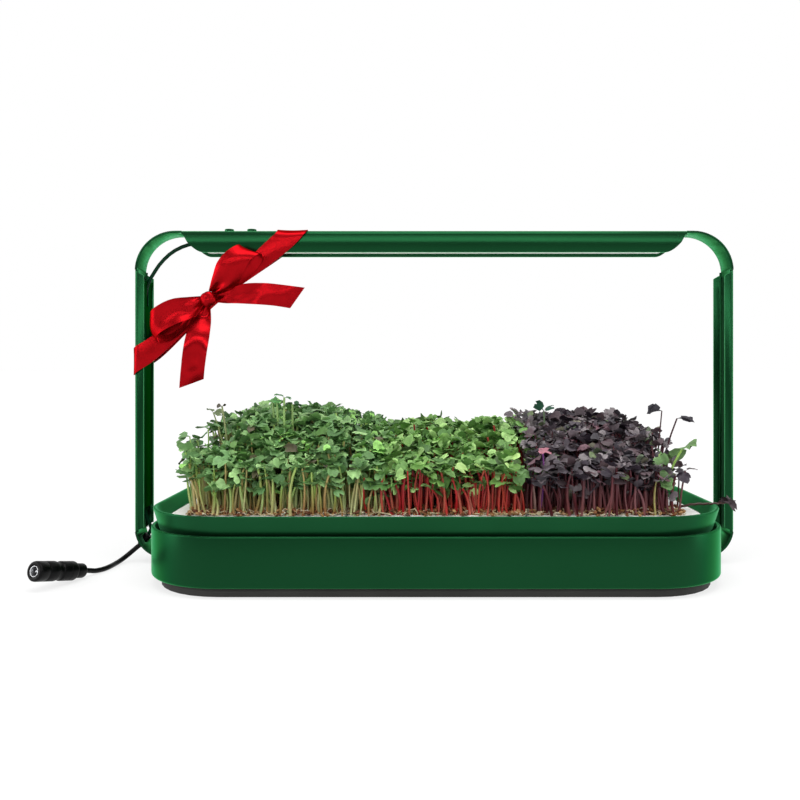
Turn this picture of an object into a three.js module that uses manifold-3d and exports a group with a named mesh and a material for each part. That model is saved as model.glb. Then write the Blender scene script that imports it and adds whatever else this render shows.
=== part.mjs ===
// Microgreen growing kit: a loop of bent sheet metal with a lamp in its top bar stands round a
// water bowl, which holds a tray on legs with three seed pads and their sprouts.
// Millimetres, +Z up, front at -Y, origin on the table below the middle of the loop.
import * as THREE from "three";
import { mergeVertices } from "three/addons/utils/BufferGeometryUtils.js";
import Module from "manifold-3d";

const wasm = await Module();
wasm.setup();

// Clearances that the pieces share
const touchGap = 0.3;
const runningGap = 0.3;
const cutOverrun = 1;
const arcSteps = 8;
const fineSteps = 3;
const rimSteps = 4;

// The loop of sheet metal
const loop = {
  width: 401.6,
  top: 223.4,
  depth: 22,
  sheet: 1.5,
  padHeight: 4,
  topCorner: 27,
  bottomCorner: 20,
  bend: 3,
  stripHalf: 9.4,
  topFlapDrop: 14.8,
  topFlapInset: 31.2,
  topFlapRun: 15.3,
  sideFlapReach: 6.3,
  sideFlapTop: 26,
  sideFlapTopSlope: 4.2,
  sideFlapFoot: 17.4,
  sideFlapFootSlope: 3.2,
};
const flapSlopeShares = [0.3, 0.54];
const flapCurveShare = 0.712;
const loopHalf = loop.width / 2;
const webUnder = loop.top - loop.sheet;
const postWeb = loopHalf - loop.sheet;
const flapInner = loop.depth / 2 - loop.sheet;
const stripTop = loop.padHeight + loop.sheet;

// Rubber pads under the bottom strip
const stripPad = { length: 34, width: 16, placeShare: 0.62 };

// The lamp in the top bar
const lamp = {
  sideGap: 0.4,
  wall: 1.2,
  chamfer: 2.2,
  endInset: 46.7,
  height: 9.2,
  ledge: 0.9,
  ledgeHeight: 0.4,
  ledgeDrop: 7.3,
};
const lampHalf = loopHalf - lamp.endInset;
const lampTop = webUnder - touchGap;
const lampSide = flapInner - lamp.sideGap;
const lampInner = lampSide - lamp.wall;
const lampRoof = lampTop - lamp.wall;
const ledgeZ = lampTop - lamp.ledgeDrop;
const board = { thickness: 1.2, endGap: 1, chip: 3, chipHeight: 0.7, chipCount: 22, chipSink: 0.1 };
const boardBase = ledgeZ + lamp.ledgeHeight + touchGap;
const boardTop = boardBase + board.thickness;
const boardHalf = lampHalf - board.endGap;
const diffuser = { drop: 2.5, thickness: 1.3, leg: 1, crown: 0.5 };
const diffuserBase = lampTop - lamp.height - diffuser.drop;
const endCap = { thickness: 2.5 };

// Screws that hold the lamp to the sheet
const lampScrew = {
  head: 4.6,
  headHeight: 1.4,
  shank: 2.4,
  sink: 0.4,
  count: 4,
  moduleGap: 9,
  endGap: 7.7,
};

// The two push buttons and what they press on
const button = {
  cap: 6.3,
  flange: 8.4,
  flangeHeight: 0.9,
  proud: 2.5,
  crown: 0.4,
  travel: 0.6,
  powerInset: 61.4,
  pitch: 15.3,
};
const buttonHole = button.cap + 2 * runningGap;
const flangeTop = lampRoof - touchGap;
const flangeBase = flangeTop - button.flangeHeight;
const powerX = -loopHalf + button.powerInset;
const timerX = powerX + button.pitch;
const tactSwitch = { width: 6, bodyShare: 0.75, plunger: 3.2 };
const switchBase = boardTop + touchGap;
const switchTop = flangeBase - button.travel - runningGap;
const timerModule = { length: 14, width: 9, height: 3, pitch: 22 };
const leadTerminal = { length: 7, width: 8, height: 3.4, endGap: 2 };
const moduleX = timerX + timerModule.pitch;
const firstScrewX = moduleX + timerModule.length / 2 + lampScrew.moduleGap;
const screwPitch = (lampHalf - lampScrew.endGap - firstScrewX) / (lampScrew.count - 1);

// The lamp lead and its cover in the left post
const lampLead = { diameter: 2.6, sides: 8 };
const leadCover = {
  wall: 1,
  sideGap: 0.4,
  faceInset: 0.6,
  leg: 2.6,
  top: 33,
  foot: 33,
  lip: 2.4,
  lipProud: 0.5,
  notch: 17,
  notchGap: 0.5,
};
const coverFace = loopHalf - loop.sideFlapReach + leadCover.faceInset;
const coverHalf = flapInner - leadCover.sideGap;
const leadSink = postWeb - lampLead.diameter / 2 - touchGap;

// The strain relief in the lower left corner
const relief = {
  diameter: 5.4,
  tip: 4.2,
  inside: 4.5,
  outside: 4.5,
  slopeDegrees: 50,
  cornerDegrees: 210,
};

// The free power lead and its barrel jack
const powerLead = { diameter: 3.2, sides: 10 };
const jack = {
  boot: 3.1,
  bootRound: 1.5,
  neck: 4.5,
  neckLength: 8.5,
  body: 5.9,
  bodyLength: 11.5,
  groove: 5.3,
  grooveLength: 3,
  collar: 6,
  collarLength: 15,
  round: 0.8,
  bore: 3.6,
  boreDepth: 9,
  sleeve: 0.5,
  pin: 1,
  pinShort: 1.5,
  insulator: 3,
  tiltDegrees: 12,
  turnDegrees: 66,
};

// The water bowl and its foot
const bowl = {
  sideGap: 25.4,
  halfDepth: 95,
  corner: 50,
  stripClearance: 0.5,
  height: 29.7,
  wall: 2.2,
  edge: 2,
  innerEdge: 5,
};
const bowlHalf = loopHalf - bowl.sideGap;
const bowlBase = stripTop + bowl.stripClearance;
const bowlRim = bowlBase + bowl.height;
const bowlFloor = bowlBase + bowl.wall;
const foot = { inset: 6, width: 13, slotClearance: 2 };
const footTop = bowlBase - touchGap;
const footSlot = loop.stripHalf + foot.slotClearance;

// The growing tray
const tray = {
  rimInset: 0.9,
  rimRise: 11.2,
  wall: 2.4,
  flare: 2.8,
  depth: 11.6,
  floor: 2,
  edge: 4,
  innerEdge: 3,
  lean: 0.7,
  slotLength: 22,
  slotWidth: 3,
  slotColumns: 3,
  slotRows: 3,
  legTop: 5,
  legFoot: 3.4,
};
const trayHalf = bowlHalf - tray.rimInset;
const trayHalfDepth = bowl.halfDepth - tray.rimInset;
const trayCorner = bowl.corner - tray.rimInset;
const trayRim = bowlRim + tray.rimRise;
const trayFloor = trayRim - tray.depth;
const trayBase = trayFloor - tray.floor;
const legPlaceShares = [
  [-0.86, -0.7],
  [0, -0.78],
  [0.86, -0.7],
  [-0.86, 0.7],
  [0, 0.78],
  [0.86, 0.7],
];

// The seed pads and the sprouts that grow on them
const pad = { margin: 13.6, depthMargin: 20, thickness: 8, edge: 1, gap: 0.6, endCorner: 16, corner: 3 };
const padBase = trayFloor + touchGap;
const padTop = padBase + pad.thickness;
const padPitch = (2 * (trayHalf - pad.margin) + pad.gap) / 3;
const padLength = padPitch - pad.gap;
const padDepth = 2 * (trayHalfDepth - pad.depthMargin);
const sprout = {
  layer: 0.9,
  columns: 6,
  rows: 10,
  stem: 0.8,
  height: 60,
  staggerShare: 0.15,
  headShare: 0.46,
  headRise: 2.8,
  headHeight: 2.4,
  headWidthShare: 0.62,
  lowestShare: 0.64,
  shortest: 12,
  edgeDip: 56,
  edgeReach: 34,
};
const sproutBase = padTop + touchGap;

// The ribbon, in widths of the ribbon counted from the loop's top left corner
const ribbon = { width: 18, thickness: 0.5 };

// Colours and finishes
function finish(color, roughness, metalness = 0) {
  return new THREE.MeshStandardMaterial({ color, roughness, metalness });
}
const paint = finish(0x164327, 0.25, 0.3);
const glaze = finish(0x164327, 0.3);
const trayFinish = finish(0x1c4a2c, 0.35);
const darkRubber = finish(0x3c3c38, 0.8);
const blackPlastic = finish(0x111214, 0.4);
const darkCover = finish(0x0a2413, 0.45);
const leadJacket = finish(0x0c1f14, 0.5);
const housingMetal = finish(0xb8bcbc, 0.4, 0.8);
const boardFinish = finish(0xe8ece6, 0.5);
const frosted = finish(0xf6f8f4, 0.5);
const steel = finish(0xc8cacc, 0.3, 0.9);
const padFinish = finish(0xe8e4d2, 0.95);
const paleSprouts = finish(0x5d8c4a, 0.7);
const redStemSprouts = finish(0x4f9a3a, 0.7);
const darkSprouts = finish(0x3a2a3c, 0.7);
const satin = finish(0xb0101c, 0.35);

// Groups of the object, one for each body that moves by itself
const kit = new THREE.Group();
const frameGroup = new THREE.Group();
const bowlGroup = new THREE.Group();
const trayGroup = new THREE.Group();
kit.add(frameGroup, bowlGroup, trayGroup);

function place(group, name, geometry, material) {
  const mesh = new THREE.Mesh(geometry, material);
  mesh.name = name;
  group.add(mesh);
  return mesh;
}

// A closed geometry as a solid that can be cut and joined, and back
function solid(geometry) {
  const bare = geometry.clone();
  bare.deleteAttribute("normal");
  bare.deleteAttribute("uv");
  const merged = mergeVertices(bare, 1e-4);
  return new wasm.Manifold(
    new wasm.Mesh({
      numProp: 3,
      vertProperties: merged.attributes.position.array,
      triVerts: new Uint32Array(merged.index.array),
    }),
  );
}

function geometryOf(body) {
  const mesh = body.getMesh();
  const geometry = new THREE.BufferGeometry();
  geometry.setAttribute("position", new THREE.BufferAttribute(mesh.vertProperties, 3));
  geometry.setIndex(new THREE.BufferAttribute(mesh.triVerts, 1));
  return geometry;
}

function joined(bodies) {
  return bodies.reduce((whole, body) => whole.add(body));
}

// A box between two corners
function box(low, high) {
  const size = high.map((value, i) => value - low[i]);
  const geometry = new THREE.BoxGeometry(...size);
  return geometry.translate(...low.map((value, i) => value + size[i] / 2));
}

// A shape drawn in X and Z, extruded along Y between two places
function extrudeAlongY(shape, from, to, steps = arcSteps) {
  const options = { depth: to - from, bevelEnabled: false, curveSegments: steps };
  const geometry = new THREE.ExtrudeGeometry(shape, options);
  return geometry.rotateX(Math.PI / 2).translate(0, to, 0);
}

// A shape drawn in Y and Z, extruded along X between two places
function extrudeAlongX(shape, from, to, steps = fineSteps) {
  const options = { depth: to - from, bevelEnabled: false, curveSegments: steps };
  const geometry = new THREE.ExtrudeGeometry(shape, options);
  return geometry.rotateX(Math.PI / 2).rotateZ(Math.PI / 2).translate(from, 0, 0);
}

// A shape drawn in X and Y, extruded upwards
function extrudeUp(shape, from, to, steps = arcSteps) {
  const options = { depth: to - from, bevelEnabled: false, curveSegments: steps };
  return new THREE.ExtrudeGeometry(shape, options).translate(0, 0, from);
}

function outline(points) {
  return new THREE.Shape(points.map(([x, y]) => new THREE.Vector2(x, y)));
}

// An upright or lying cylinder
function rod(radius, from, to, sides = 24) {
  const geometry = new THREE.CylinderGeometry(radius, radius, to - from, sides);
  return geometry.rotateX(Math.PI / 2).translate(0, 0, (from + to) / 2);
}

// A solid turned about Z from a profile of radius and height
function turned(profile, sides = 16) {
  const points = profile.map(([radius, height]) => new THREE.Vector2(radius, height));
  return new THREE.LatheGeometry(points, sides).rotateX(Math.PI / 2);
}

// The loop's outline in X and Z, drawn in by an inset, with its own corner radii
function loopOutline(inset) {
  const half = loopHalf - inset;
  const low = loop.padHeight + inset;
  const high = loop.top - inset;
  const foot = loop.bottomCorner - inset;
  const crown = loop.topCorner - inset;
  const shape = new THREE.Shape();
  shape.absarc(half - foot, low + foot, foot, -Math.PI / 2, 0, false);
  shape.absarc(half - crown, high - crown, crown, 0, Math.PI / 2, false);
  shape.absarc(crown - half, high - crown, crown, Math.PI / 2, Math.PI, false);
  shape.absarc(foot - half, low + foot, foot, Math.PI, (3 * Math.PI) / 2, false);
  return shape;
}

// A block with the loop's outline and rolled front and back edges
function rolledBlock(inset) {
  const round = loop.bend - inset;
  const depth = loop.depth - 2 * inset;
  const geometry = new THREE.ExtrudeGeometry(loopOutline(inset), {
    depth: depth - 2 * round,
    curveSegments: arcSteps,
    bevelThickness: round,
    bevelSize: round,
    bevelOffset: -round,
    bevelSegments: fineSteps,
  });
  return solid(geometry.rotateX(Math.PI / 2).translate(0, depth / 2 - round, 0));
}

// The top flap: straight slopes at its ends that round into the lower edge
function topFlapOutline() {
  const half = loopHalf - loop.topFlapInset;
  const low = loop.top - loop.topFlapDrop;
  const slopeX = loop.topFlapRun * flapSlopeShares[0];
  const slopeZ = loop.topFlapDrop * flapSlopeShares[1];
  const curveX = loop.topFlapRun * flapCurveShare;
  const shape = new THREE.Shape();
  shape.moveTo(half, loop.top + cutOverrun);
  shape.lineTo(-half, loop.top + cutOverrun);
  shape.lineTo(-half, loop.top);
  shape.lineTo(slopeX - half, loop.top - slopeZ);
  shape.quadraticCurveTo(curveX - half, low, loop.topFlapRun - half, low);
  shape.lineTo(half - loop.topFlapRun, low);
  shape.quadraticCurveTo(half - curveX, low, half - slopeX, loop.top - slopeZ);
  shape.lineTo(half, loop.top);
  return shape;
}

// A side flap: a narrow band with sloping ends
function sideFlapOutline(side) {
  const outer = side * (loopHalf + cutOverrun);
  const edge = side * (loopHalf - loop.sideFlapReach);
  const high = loop.top - loop.sideFlapTop;
  const low = loop.padHeight + loop.sideFlapFoot;
  return outline([
    [outer, low],
    [outer, high],
    [edge, high - loop.sideFlapTopSlope],
    [edge, low + loop.sideFlapFootSlope],
  ]);
}

// The flat strip of sheet that goes all round
function flatRing() {
  const outer = solid(extrudeAlongY(loopOutline(0), -loop.stripHalf, loop.stripHalf));
  const reach = loop.stripHalf + cutOverrun;
  return outer.subtract(solid(extrudeAlongY(loopOutline(loop.sheet), -reach, reach)));
}

// The stretches of the loop that carry flaps: the top bar and the two posts
function flapStretches() {
  const face = loop.depth / 2 + cutOverrun;
  const half = loopHalf - loop.topFlapInset;
  const high = loop.top - loop.sideFlapTop;
  const low = loop.padHeight + loop.sideFlapFoot;
  const middle = (high + low) / 2;
  const reach = loopHalf + cutOverrun;
  return joined([
    solid(box([-half, -face, middle], [half, face, loop.top + cutOverrun])),
    solid(box([-reach, -face, low], [loop.topFlapInset - loopHalf, face, high])),
    solid(box([loopHalf - loop.topFlapInset, -face, low], [reach, face, high])),
  ]);
}

// The whole loop: rolled where it has flaps, flat elsewhere, and cut back to the flaps' outlines
function sheetLoop() {
  const stretches = flapStretches();
  const rolled = rolledBlock(0).subtract(rolledBlock(loop.sheet)).intersect(stretches);
  const shell = rolled.add(flatRing().subtract(stretches));
  const face = loop.depth / 2 + cutOverrun;
  const low = [-loopHalf - cutOverrun, -face, loop.padHeight - cutOverrun];
  const high = [loopHalf + cutOverrun, -loop.stripHalf, loop.top + cutOverrun];
  const flaps = [topFlapOutline(), sideFlapOutline(-1), sideFlapOutline(1)].map((shape) =>
    solid(extrudeAlongY(shape, -face - cutOverrun, face + cutOverrun)),
  );
  const keep = joined(flaps);
  const frontCut = solid(box(low, high)).subtract(keep);
  const backCut = solid(box(low, high).translate(0, face + loop.stripHalf, 0)).subtract(keep);
  return shell.subtract(frontCut).subtract(backCut);
}

// The place where the strain relief's axis crosses the corner strip
function reliefAxis() {
  const around = THREE.MathUtils.degToRad(relief.cornerDegrees);
  const radius = loop.bottomCorner - loop.sheet / 2;
  const middle = new THREE.Vector3(
    loop.bottomCorner - loopHalf + radius * Math.cos(around),
    0,
    loop.padHeight + loop.bottomCorner + radius * Math.sin(around),
  );
  const slope = THREE.MathUtils.degToRad(relief.slopeDegrees);
  const direction = new THREE.Vector3(-Math.cos(slope), 0, -Math.sin(slope));
  return { middle, direction };
}

// Turns a piece made along +Z onto an axis through a point
function onAxis(geometry, origin, direction) {
  const turn = new THREE.Quaternion().setFromUnitVectors(new THREE.Vector3(0, 0, 1), direction);
  return geometry.applyQuaternion(turn).translate(origin.x, origin.y, origin.z);
}

function addLoop() {
  let body = sheetLoop();
  for (const x of [powerX, timerX]) {
    const hole = rod(buttonHole / 2, webUnder - cutOverrun, loop.top + cutOverrun).translate(x, 0, 0);
    body = body.subtract(solid(hole));
  }
  for (let i = 0; i < lampScrew.count; i += 1) {
    const bore = lampScrew.shank / 2 + touchGap;
    const hole = rod(bore, webUnder - cutOverrun, loop.top + cutOverrun, 16);
    body = body.subtract(solid(hole.translate(firstScrewX + i * screwPitch, 0, 0)));
  }
  const { middle, direction } = reliefAxis();
  const reach = relief.inside;
  const bore = onAxis(rod(relief.diameter / 2 + touchGap, -reach, reach), middle, direction);
  place(frameGroup, "frame_loop", geometryOf(body.subtract(solid(bore))), paint);
}

function addStripPads() {
  for (const [name, side] of [["left", -1], ["right", 1]]) {
    const end = stripPad.width / 2;
    const reach = stripPad.length / 2 - end;
    const shape = new THREE.Shape();
    shape.absarc(reach, 0, end, -Math.PI / 2, Math.PI / 2, false);
    shape.absarc(-reach, 0, end, Math.PI / 2, (3 * Math.PI) / 2, false);
    const geometry = extrudeUp(shape, 0, loop.padHeight - touchGap, fineSteps);
    geometry.translate(side * stripPad.placeShare * loopHalf, 0, 0);
    place(frameGroup, "frame_pad_" + name, geometry, darkRubber);
  }
}

// The lamp housing: a U profile with inner ledges for the board and the diffuser
function addLampHousing() {
  const base = lampTop - lamp.height;
  const ledgeEdge = lampInner - lamp.ledge;
  const shape = outline([
    [lamp.chamfer - lampSide, lampTop],
    [-lampSide, lampTop - lamp.chamfer],
    [-lampSide, base],
    [-lampInner, base],
    [-lampInner, ledgeZ],
    [-ledgeEdge, ledgeZ],
    [-ledgeEdge, ledgeZ + lamp.ledgeHeight],
    [-lampInner, ledgeZ + lamp.ledgeHeight],
    [-lampInner, lampRoof],
    [lampInner, lampRoof],
    [lampInner, ledgeZ + lamp.ledgeHeight],
    [ledgeEdge, ledgeZ + lamp.ledgeHeight],
    [ledgeEdge, ledgeZ],
    [lampInner, ledgeZ],
    [lampInner, base],
    [lampSide, base],
    [lampSide, lampTop - lamp.chamfer],
    [lampSide - lamp.chamfer, lampTop],
  ]);
  let body = solid(extrudeAlongX(shape, -lampHalf, lampHalf));
  for (const x of [powerX, timerX]) {
    const hole = rod(buttonHole / 2, lampRoof - cutOverrun, lampTop + cutOverrun).translate(x, 0, 0);
    body = body.subtract(solid(hole));
  }
  for (let i = 0; i < lampScrew.count; i += 1) {
    const bore = lampScrew.shank / 2 + touchGap;
    const hole = rod(bore, lampRoof - cutOverrun, lampTop + cutOverrun, 16);
    body = body.subtract(solid(hole.translate(firstScrewX + i * screwPitch, 0, 0)));
  }
  place(frameGroup, "lamp_housing", geometryOf(body), housingMetal);
}

// The board with its row of light chips
function addBoard() {
  const half = lampInner - touchGap;
  let body = solid(box([-boardHalf, -half, boardBase], [boardHalf, half, boardTop]));
  const pitch = (2 * boardHalf) / board.chipCount;
  const low = boardBase - board.chipHeight;
  for (let i = 0; i < board.chipCount; i += 1) {
    const x = -boardHalf + (i + 0.5) * pitch;
    const side = board.chip / 2;
    const chip = box([x - side, -side, low], [x + side, side, boardBase + board.chipSink]);
    body = body.add(solid(chip));
  }
  place(frameGroup, "led_board", geometryOf(body), boardFinish);
}

// The frosted strip under the lamp, slightly domed, on two legs
function addDiffuser() {
  const half = lampInner - touchGap;
  const plateTop = diffuserBase + diffuser.crown + diffuser.thickness;
  const legTop = ledgeZ - touchGap;
  const shape = new THREE.Shape();
  shape.moveTo(-half, diffuserBase + diffuser.crown);
  shape.quadraticCurveTo(0, diffuserBase - diffuser.crown, half, diffuserBase + diffuser.crown);
  shape.lineTo(half, legTop);
  shape.lineTo(half - diffuser.leg, legTop);
  shape.lineTo(half - diffuser.leg, plateTop);
  shape.lineTo(diffuser.leg - half, plateTop);
  shape.lineTo(diffuser.leg - half, legTop);
  shape.lineTo(-half, legTop);
  const geometry = extrudeAlongX(shape, -lampHalf, lampHalf, arcSteps);
  place(frameGroup, "light_diffuser", geometry, frosted);
}

function addEndCaps() {
  const base = lampTop - lamp.height;
  for (const [name, side] of [["left", -1], ["right", 1]]) {
    const inner = lampHalf + touchGap;
    const outer = inner + endCap.thickness;
    const ends = [side * inner, side * outer].sort((a, b) => a - b);
    const plate = outline([
      [-lampSide, base],
      [lampSide, base],
      [lampSide, lampTop - lamp.chamfer],
      [lampSide - lamp.chamfer, lampTop],
      [lamp.chamfer - lampSide, lampTop],
      [-lampSide, lampTop - lamp.chamfer],
    ]);
    const geometry = extrudeAlongX(plate, ends[0], ends[1]);
    place(frameGroup, "lamp_end_cap_" + name, geometry, blackPlastic);
  }
}

function addLampScrews() {
  const headTop = lampRoof - touchGap;
  const profile = [
    [0, headTop - lampScrew.headHeight],
    [lampScrew.head / 2, headTop - lampScrew.headHeight],
    [lampScrew.head / 2, headTop],
    [lampScrew.shank / 2, headTop],
    [lampScrew.shank / 2, loop.top - lampScrew.sink],
    [0, loop.top - lampScrew.sink],
  ];
  for (let i = 0; i < lampScrew.count; i += 1) {
    const geometry = turned(profile, 12).translate(firstScrewX + i * screwPitch, 0, 0);
    place(frameGroup, "lamp_screw_" + (i + 1), geometry, steel);
  }
}

// Each button: a crowned cap through the sheet, held by a flange under the housing's roof
function addButtons() {
  const capTop = loop.top + button.proud;
  const profile = [
    [0, flangeBase],
    [button.flange / 2, flangeBase],
    [button.flange / 2, flangeTop],
    [button.cap / 2, flangeTop],
    [button.cap / 2, capTop - button.crown],
    [button.cap / 2 - button.crown, capTop],
    [0, capTop],
  ];
  for (const [name, x] of [["power", powerX], ["timer", timerX]]) {
    const group = new THREE.Group();
    group.position.x = x;
    kit.add(group);
    place(group, name + "_button", turned(profile), paint);
    const shoulder = switchBase + tactSwitch.bodyShare * (switchTop - switchBase);
    const half = tactSwitch.width / 2;
    const body = solid(box([-half, -half, switchBase], [half, half, shoulder]));
    const plunger = solid(rod(tactSwitch.plunger / 2, switchBase, switchTop, 12));
    const geometry = geometryOf(body.add(plunger)).translate(x, 0, 0);
    place(frameGroup, "switch_" + name, geometry, blackPlastic);
  }
}

function addBoardModules() {
  const base = boardTop + touchGap;
  const moduleLow = [moduleX - timerModule.length / 2, -timerModule.width / 2, base];
  const moduleHigh = [
    moduleX + timerModule.length / 2,
    timerModule.width / 2,
    base + timerModule.height,
  ];
  place(frameGroup, "timer_module", box(moduleLow, moduleHigh), blackPlastic);
  const start = leadTerminal.endGap - boardHalf;
  const low = [start, -leadTerminal.width / 2, base];
  const high = [start + leadTerminal.length, leadTerminal.width / 2, base + leadTerminal.height];
  place(frameGroup, "lead_terminal", box(low, high), boardFinish);
}

// A tube of a round section along a smooth curve through points
function tubeAlong(points, diameter, sides, steps) {
  const section = new THREE.Shape();
  for (let i = 0; i < sides; i += 1) {
    const angle = (2 * Math.PI * i) / sides;
    const x = (diameter / 2) * Math.cos(angle);
    const y = (diameter / 2) * Math.sin(angle);
    if (i === 0) section.moveTo(x, y);
    else section.lineTo(x, y);
  }
  const path = new THREE.CatmullRomCurve3(points, false, "centripetal");
  return new THREE.ExtrudeGeometry(section, { steps, bevelEnabled: false, extrudePath: path });
}

// The lamp lead: out of the end cap, over in an arc, and down behind the cover to the strain
// relief. Its points are shares of the top corner's radius and of the bottom corner's radius.
const leadArcShares = [
  [1.63, 0.241],
  [1.45, 0.259],
  [1.19, 0.311],
  [0.837, 0.481],
  [0.533, 0.767],
  [0.36, 1.02],
  [0.245, 1.22],
  [0.165, 1.45],
  [0.13, 1.7],
];
const leadFootShares = [
  [0.145, 1.9],
  [0.165, 1.6],
  [0.21, 1.38],
  [0.31, 1.16],
  [0.39, 0.97],
];
const leadRunShares = [0.04, 0.96];
const leadSteps = 44;

function addLampLead() {
  const startX = lampHalf + touchGap + endCap.thickness + touchGap;
  const startZ = loop.top - leadArcShares[0][1] * loop.topCorner;
  const points = [new THREE.Vector3(-startX, 0, startZ)];
  for (const [across, down] of leadArcShares.slice(1)) {
    const x = -loopHalf + across * loop.topCorner;
    points.push(new THREE.Vector3(x, 0, loop.top - down * loop.topCorner));
  }
  const straightTop = loop.top - 2 * loop.topCorner;
  const straightFoot = loop.padHeight + 3 * loop.bottomCorner;
  const run = straightTop - straightFoot;
  for (const share of [0, ...leadRunShares, 1]) {
    points.push(new THREE.Vector3(-leadSink, 0, straightTop - share * run));
  }
  for (const [across, up] of leadFootShares) {
    const x = -loopHalf + across * loop.bottomCorner;
    points.push(new THREE.Vector3(x, 0, loop.padHeight + up * loop.bottomCorner));
  }
  const { middle, direction } = reliefAxis();
  const end = relief.inside + touchGap;
  points.push(middle.clone().addScaledVector(direction, -end - lampLead.diameter));
  points.push(middle.clone().addScaledVector(direction, -end));
  const geometry = tubeAlong(points, lampLead.diameter, lampLead.sides, leadSteps);
  place(frameGroup, "lamp_lead", geometry, leadJacket);
}

// The cover snaps between the left post's flaps: a U strip with a lip and a notch at its top
function addLeadCover() {
  const high = loop.top - leadCover.top;
  const low = loop.padHeight + leadCover.foot;
  const back = coverFace + leadCover.leg;
  const inner = coverFace + leadCover.wall;
  const side = coverHalf - leadCover.wall;
  const strip = outline([
    [-back, -coverHalf],
    [-coverFace, -coverHalf],
    [-coverFace, coverHalf],
    [-back, coverHalf],
    [-back, side],
    [-inner, side],
    [-inner, -side],
    [-back, -side],
  ]);
  const body = solid(extrudeUp(strip, low, high));
  const lipLow = [-inner, -coverHalf, high - leadCover.lip];
  const lip = solid(box(lipLow, [leadCover.lipProud - coverFace, coverHalf, high]));
  const notchHalf = lampLead.diameter / 2 + leadCover.notchGap;
  const notchLow = [-back, -notchHalf, high - leadCover.notch];
  const notch = solid(box(notchLow, [cutOverrun - coverFace, notchHalf, high + cutOverrun]));
  place(frameGroup, "lead_cover", geometryOf(body.add(lip).subtract(notch)), darkCover);
}

function addStrainRelief() {
  const { middle, direction } = reliefAxis();
  const profile = [
    [0, -relief.inside],
    [relief.diameter / 2, -relief.inside],
    [relief.diameter / 2, relief.outside / 2],
    [relief.tip / 2, relief.outside],
    [0, relief.outside],
  ];
  const geometry = onAxis(turned(profile, 20), middle, direction);
  place(frameGroup, "strain_relief", geometry, blackPlastic);
}

// The free lead's route from the strain relief, down to the table and forwards to the jack
const powerLeadRoute = [
  [-202.2, 0, 9.4],
  [-206.3, -1.8, 5.8],
  [-208.9, -5, 3.5],
  [-210.5, -10, 2.2],
  [-211.5, -16, 1.7],
  [-212.1, -23.4, 1.7],
  [-213.2, -28.8, 1.7],
  [-214.8, -33.4, 1.9],
  [-216.3, -37.4, 2.4],
  [-217.8, -41, 3.4],
  [-218.8, -43.5, 4.1],
  [-219.8, -45.7, 4.6],
];
const powerLeadSteps = 22;

function addPowerLead() {
  const { middle, direction } = reliefAxis();
  const start = middle.clone().addScaledVector(direction, relief.outside + touchGap);
  const rest = powerLeadRoute.map((point) => new THREE.Vector3(...point));
  const geometry = tubeAlong([start, ...rest], powerLead.diameter, powerLead.sides, powerLeadSteps);
  place(frameGroup, "power_lead", geometry, blackPlastic);
}

// The jack's pieces are made along +Z from the rear and turned onto the lead's end
function jackDirection() {
  const tilt = THREE.MathUtils.degToRad(jack.tiltDegrees);
  const turn = THREE.MathUtils.degToRad(jack.turnDegrees);
  return new THREE.Vector3(
    -Math.cos(tilt) * Math.cos(turn),
    -Math.cos(tilt) * Math.sin(turn),
    Math.sin(tilt),
  );
}

function addJack() {
  const end = new THREE.Vector3(...powerLeadRoute[powerLeadRoute.length - 1]);
  const direction = jackDirection();
  const origin = end.addScaledVector(direction, touchGap);
  const neckEnd = jack.neckLength;
  const bodyEnd = neckEnd + jack.bodyLength;
  const grooveEnd = bodyEnd + jack.grooveLength;
  const nose = grooveEnd + jack.collarLength;
  const boreFloor = nose - jack.boreDepth;
  const shell = [
    [0, 0],
    [jack.boot, 0],
    [jack.neck, jack.bootRound],
    [jack.neck, neckEnd],
    [jack.body - jack.round, neckEnd],
    [jack.body, neckEnd + jack.round],
    [jack.body, bodyEnd - jack.round],
    [jack.groove, bodyEnd],
    [jack.groove, grooveEnd],
    [jack.collar - jack.round, grooveEnd],
    [jack.collar, grooveEnd + jack.round],
    [jack.collar, nose - jack.round],
    [jack.collar - jack.round, nose],
    [jack.bore, nose],
    [jack.bore, boreFloor],
    [0, boreFloor],
  ];
  place(frameGroup, "jack_shell", onAxis(turned(shell, 22), origin, direction), blackPlastic);
  const ringOuter = jack.bore - touchGap;
  const ringInner = ringOuter - jack.sleeve;
  const ringBase = boreFloor + touchGap;
  const ring = [
    [ringInner, ringBase],
    [ringOuter, ringBase],
    [ringOuter, nose],
    [ringInner, nose],
    [ringInner, ringBase],
  ];
  place(frameGroup, "jack_sleeve", onAxis(turned(ring, 20), origin, direction), steel);
  const plugTop = ringBase + jack.insulator;
  const plugEdge = ringInner - touchGap;
  const pinHole = jack.pin + touchGap;
  const pinHoleFloor = ringBase + touchGap;
  const insulator = [
    [0, ringBase],
    [plugEdge, ringBase],
    [plugEdge, plugTop],
    [pinHole, plugTop],
    [pinHole, pinHoleFloor],
    [0, pinHoleFloor],
  ];
  place(frameGroup, "jack_insulator", onAxis(turned(insulator, 20), origin, direction), blackPlastic);
  const pinBase = pinHoleFloor + touchGap;
  const pinTop = nose - jack.pinShort;
  const pin = [
    [0, pinBase],
    [jack.pin, pinBase],
    [jack.pin, pinTop - jack.pin],
    [jack.pin / 2, pinTop],
    [0, pinTop],
  ];
  place(frameGroup, "jack_pin", onAxis(turned(pin, 12), origin, direction), steel);
}

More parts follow.
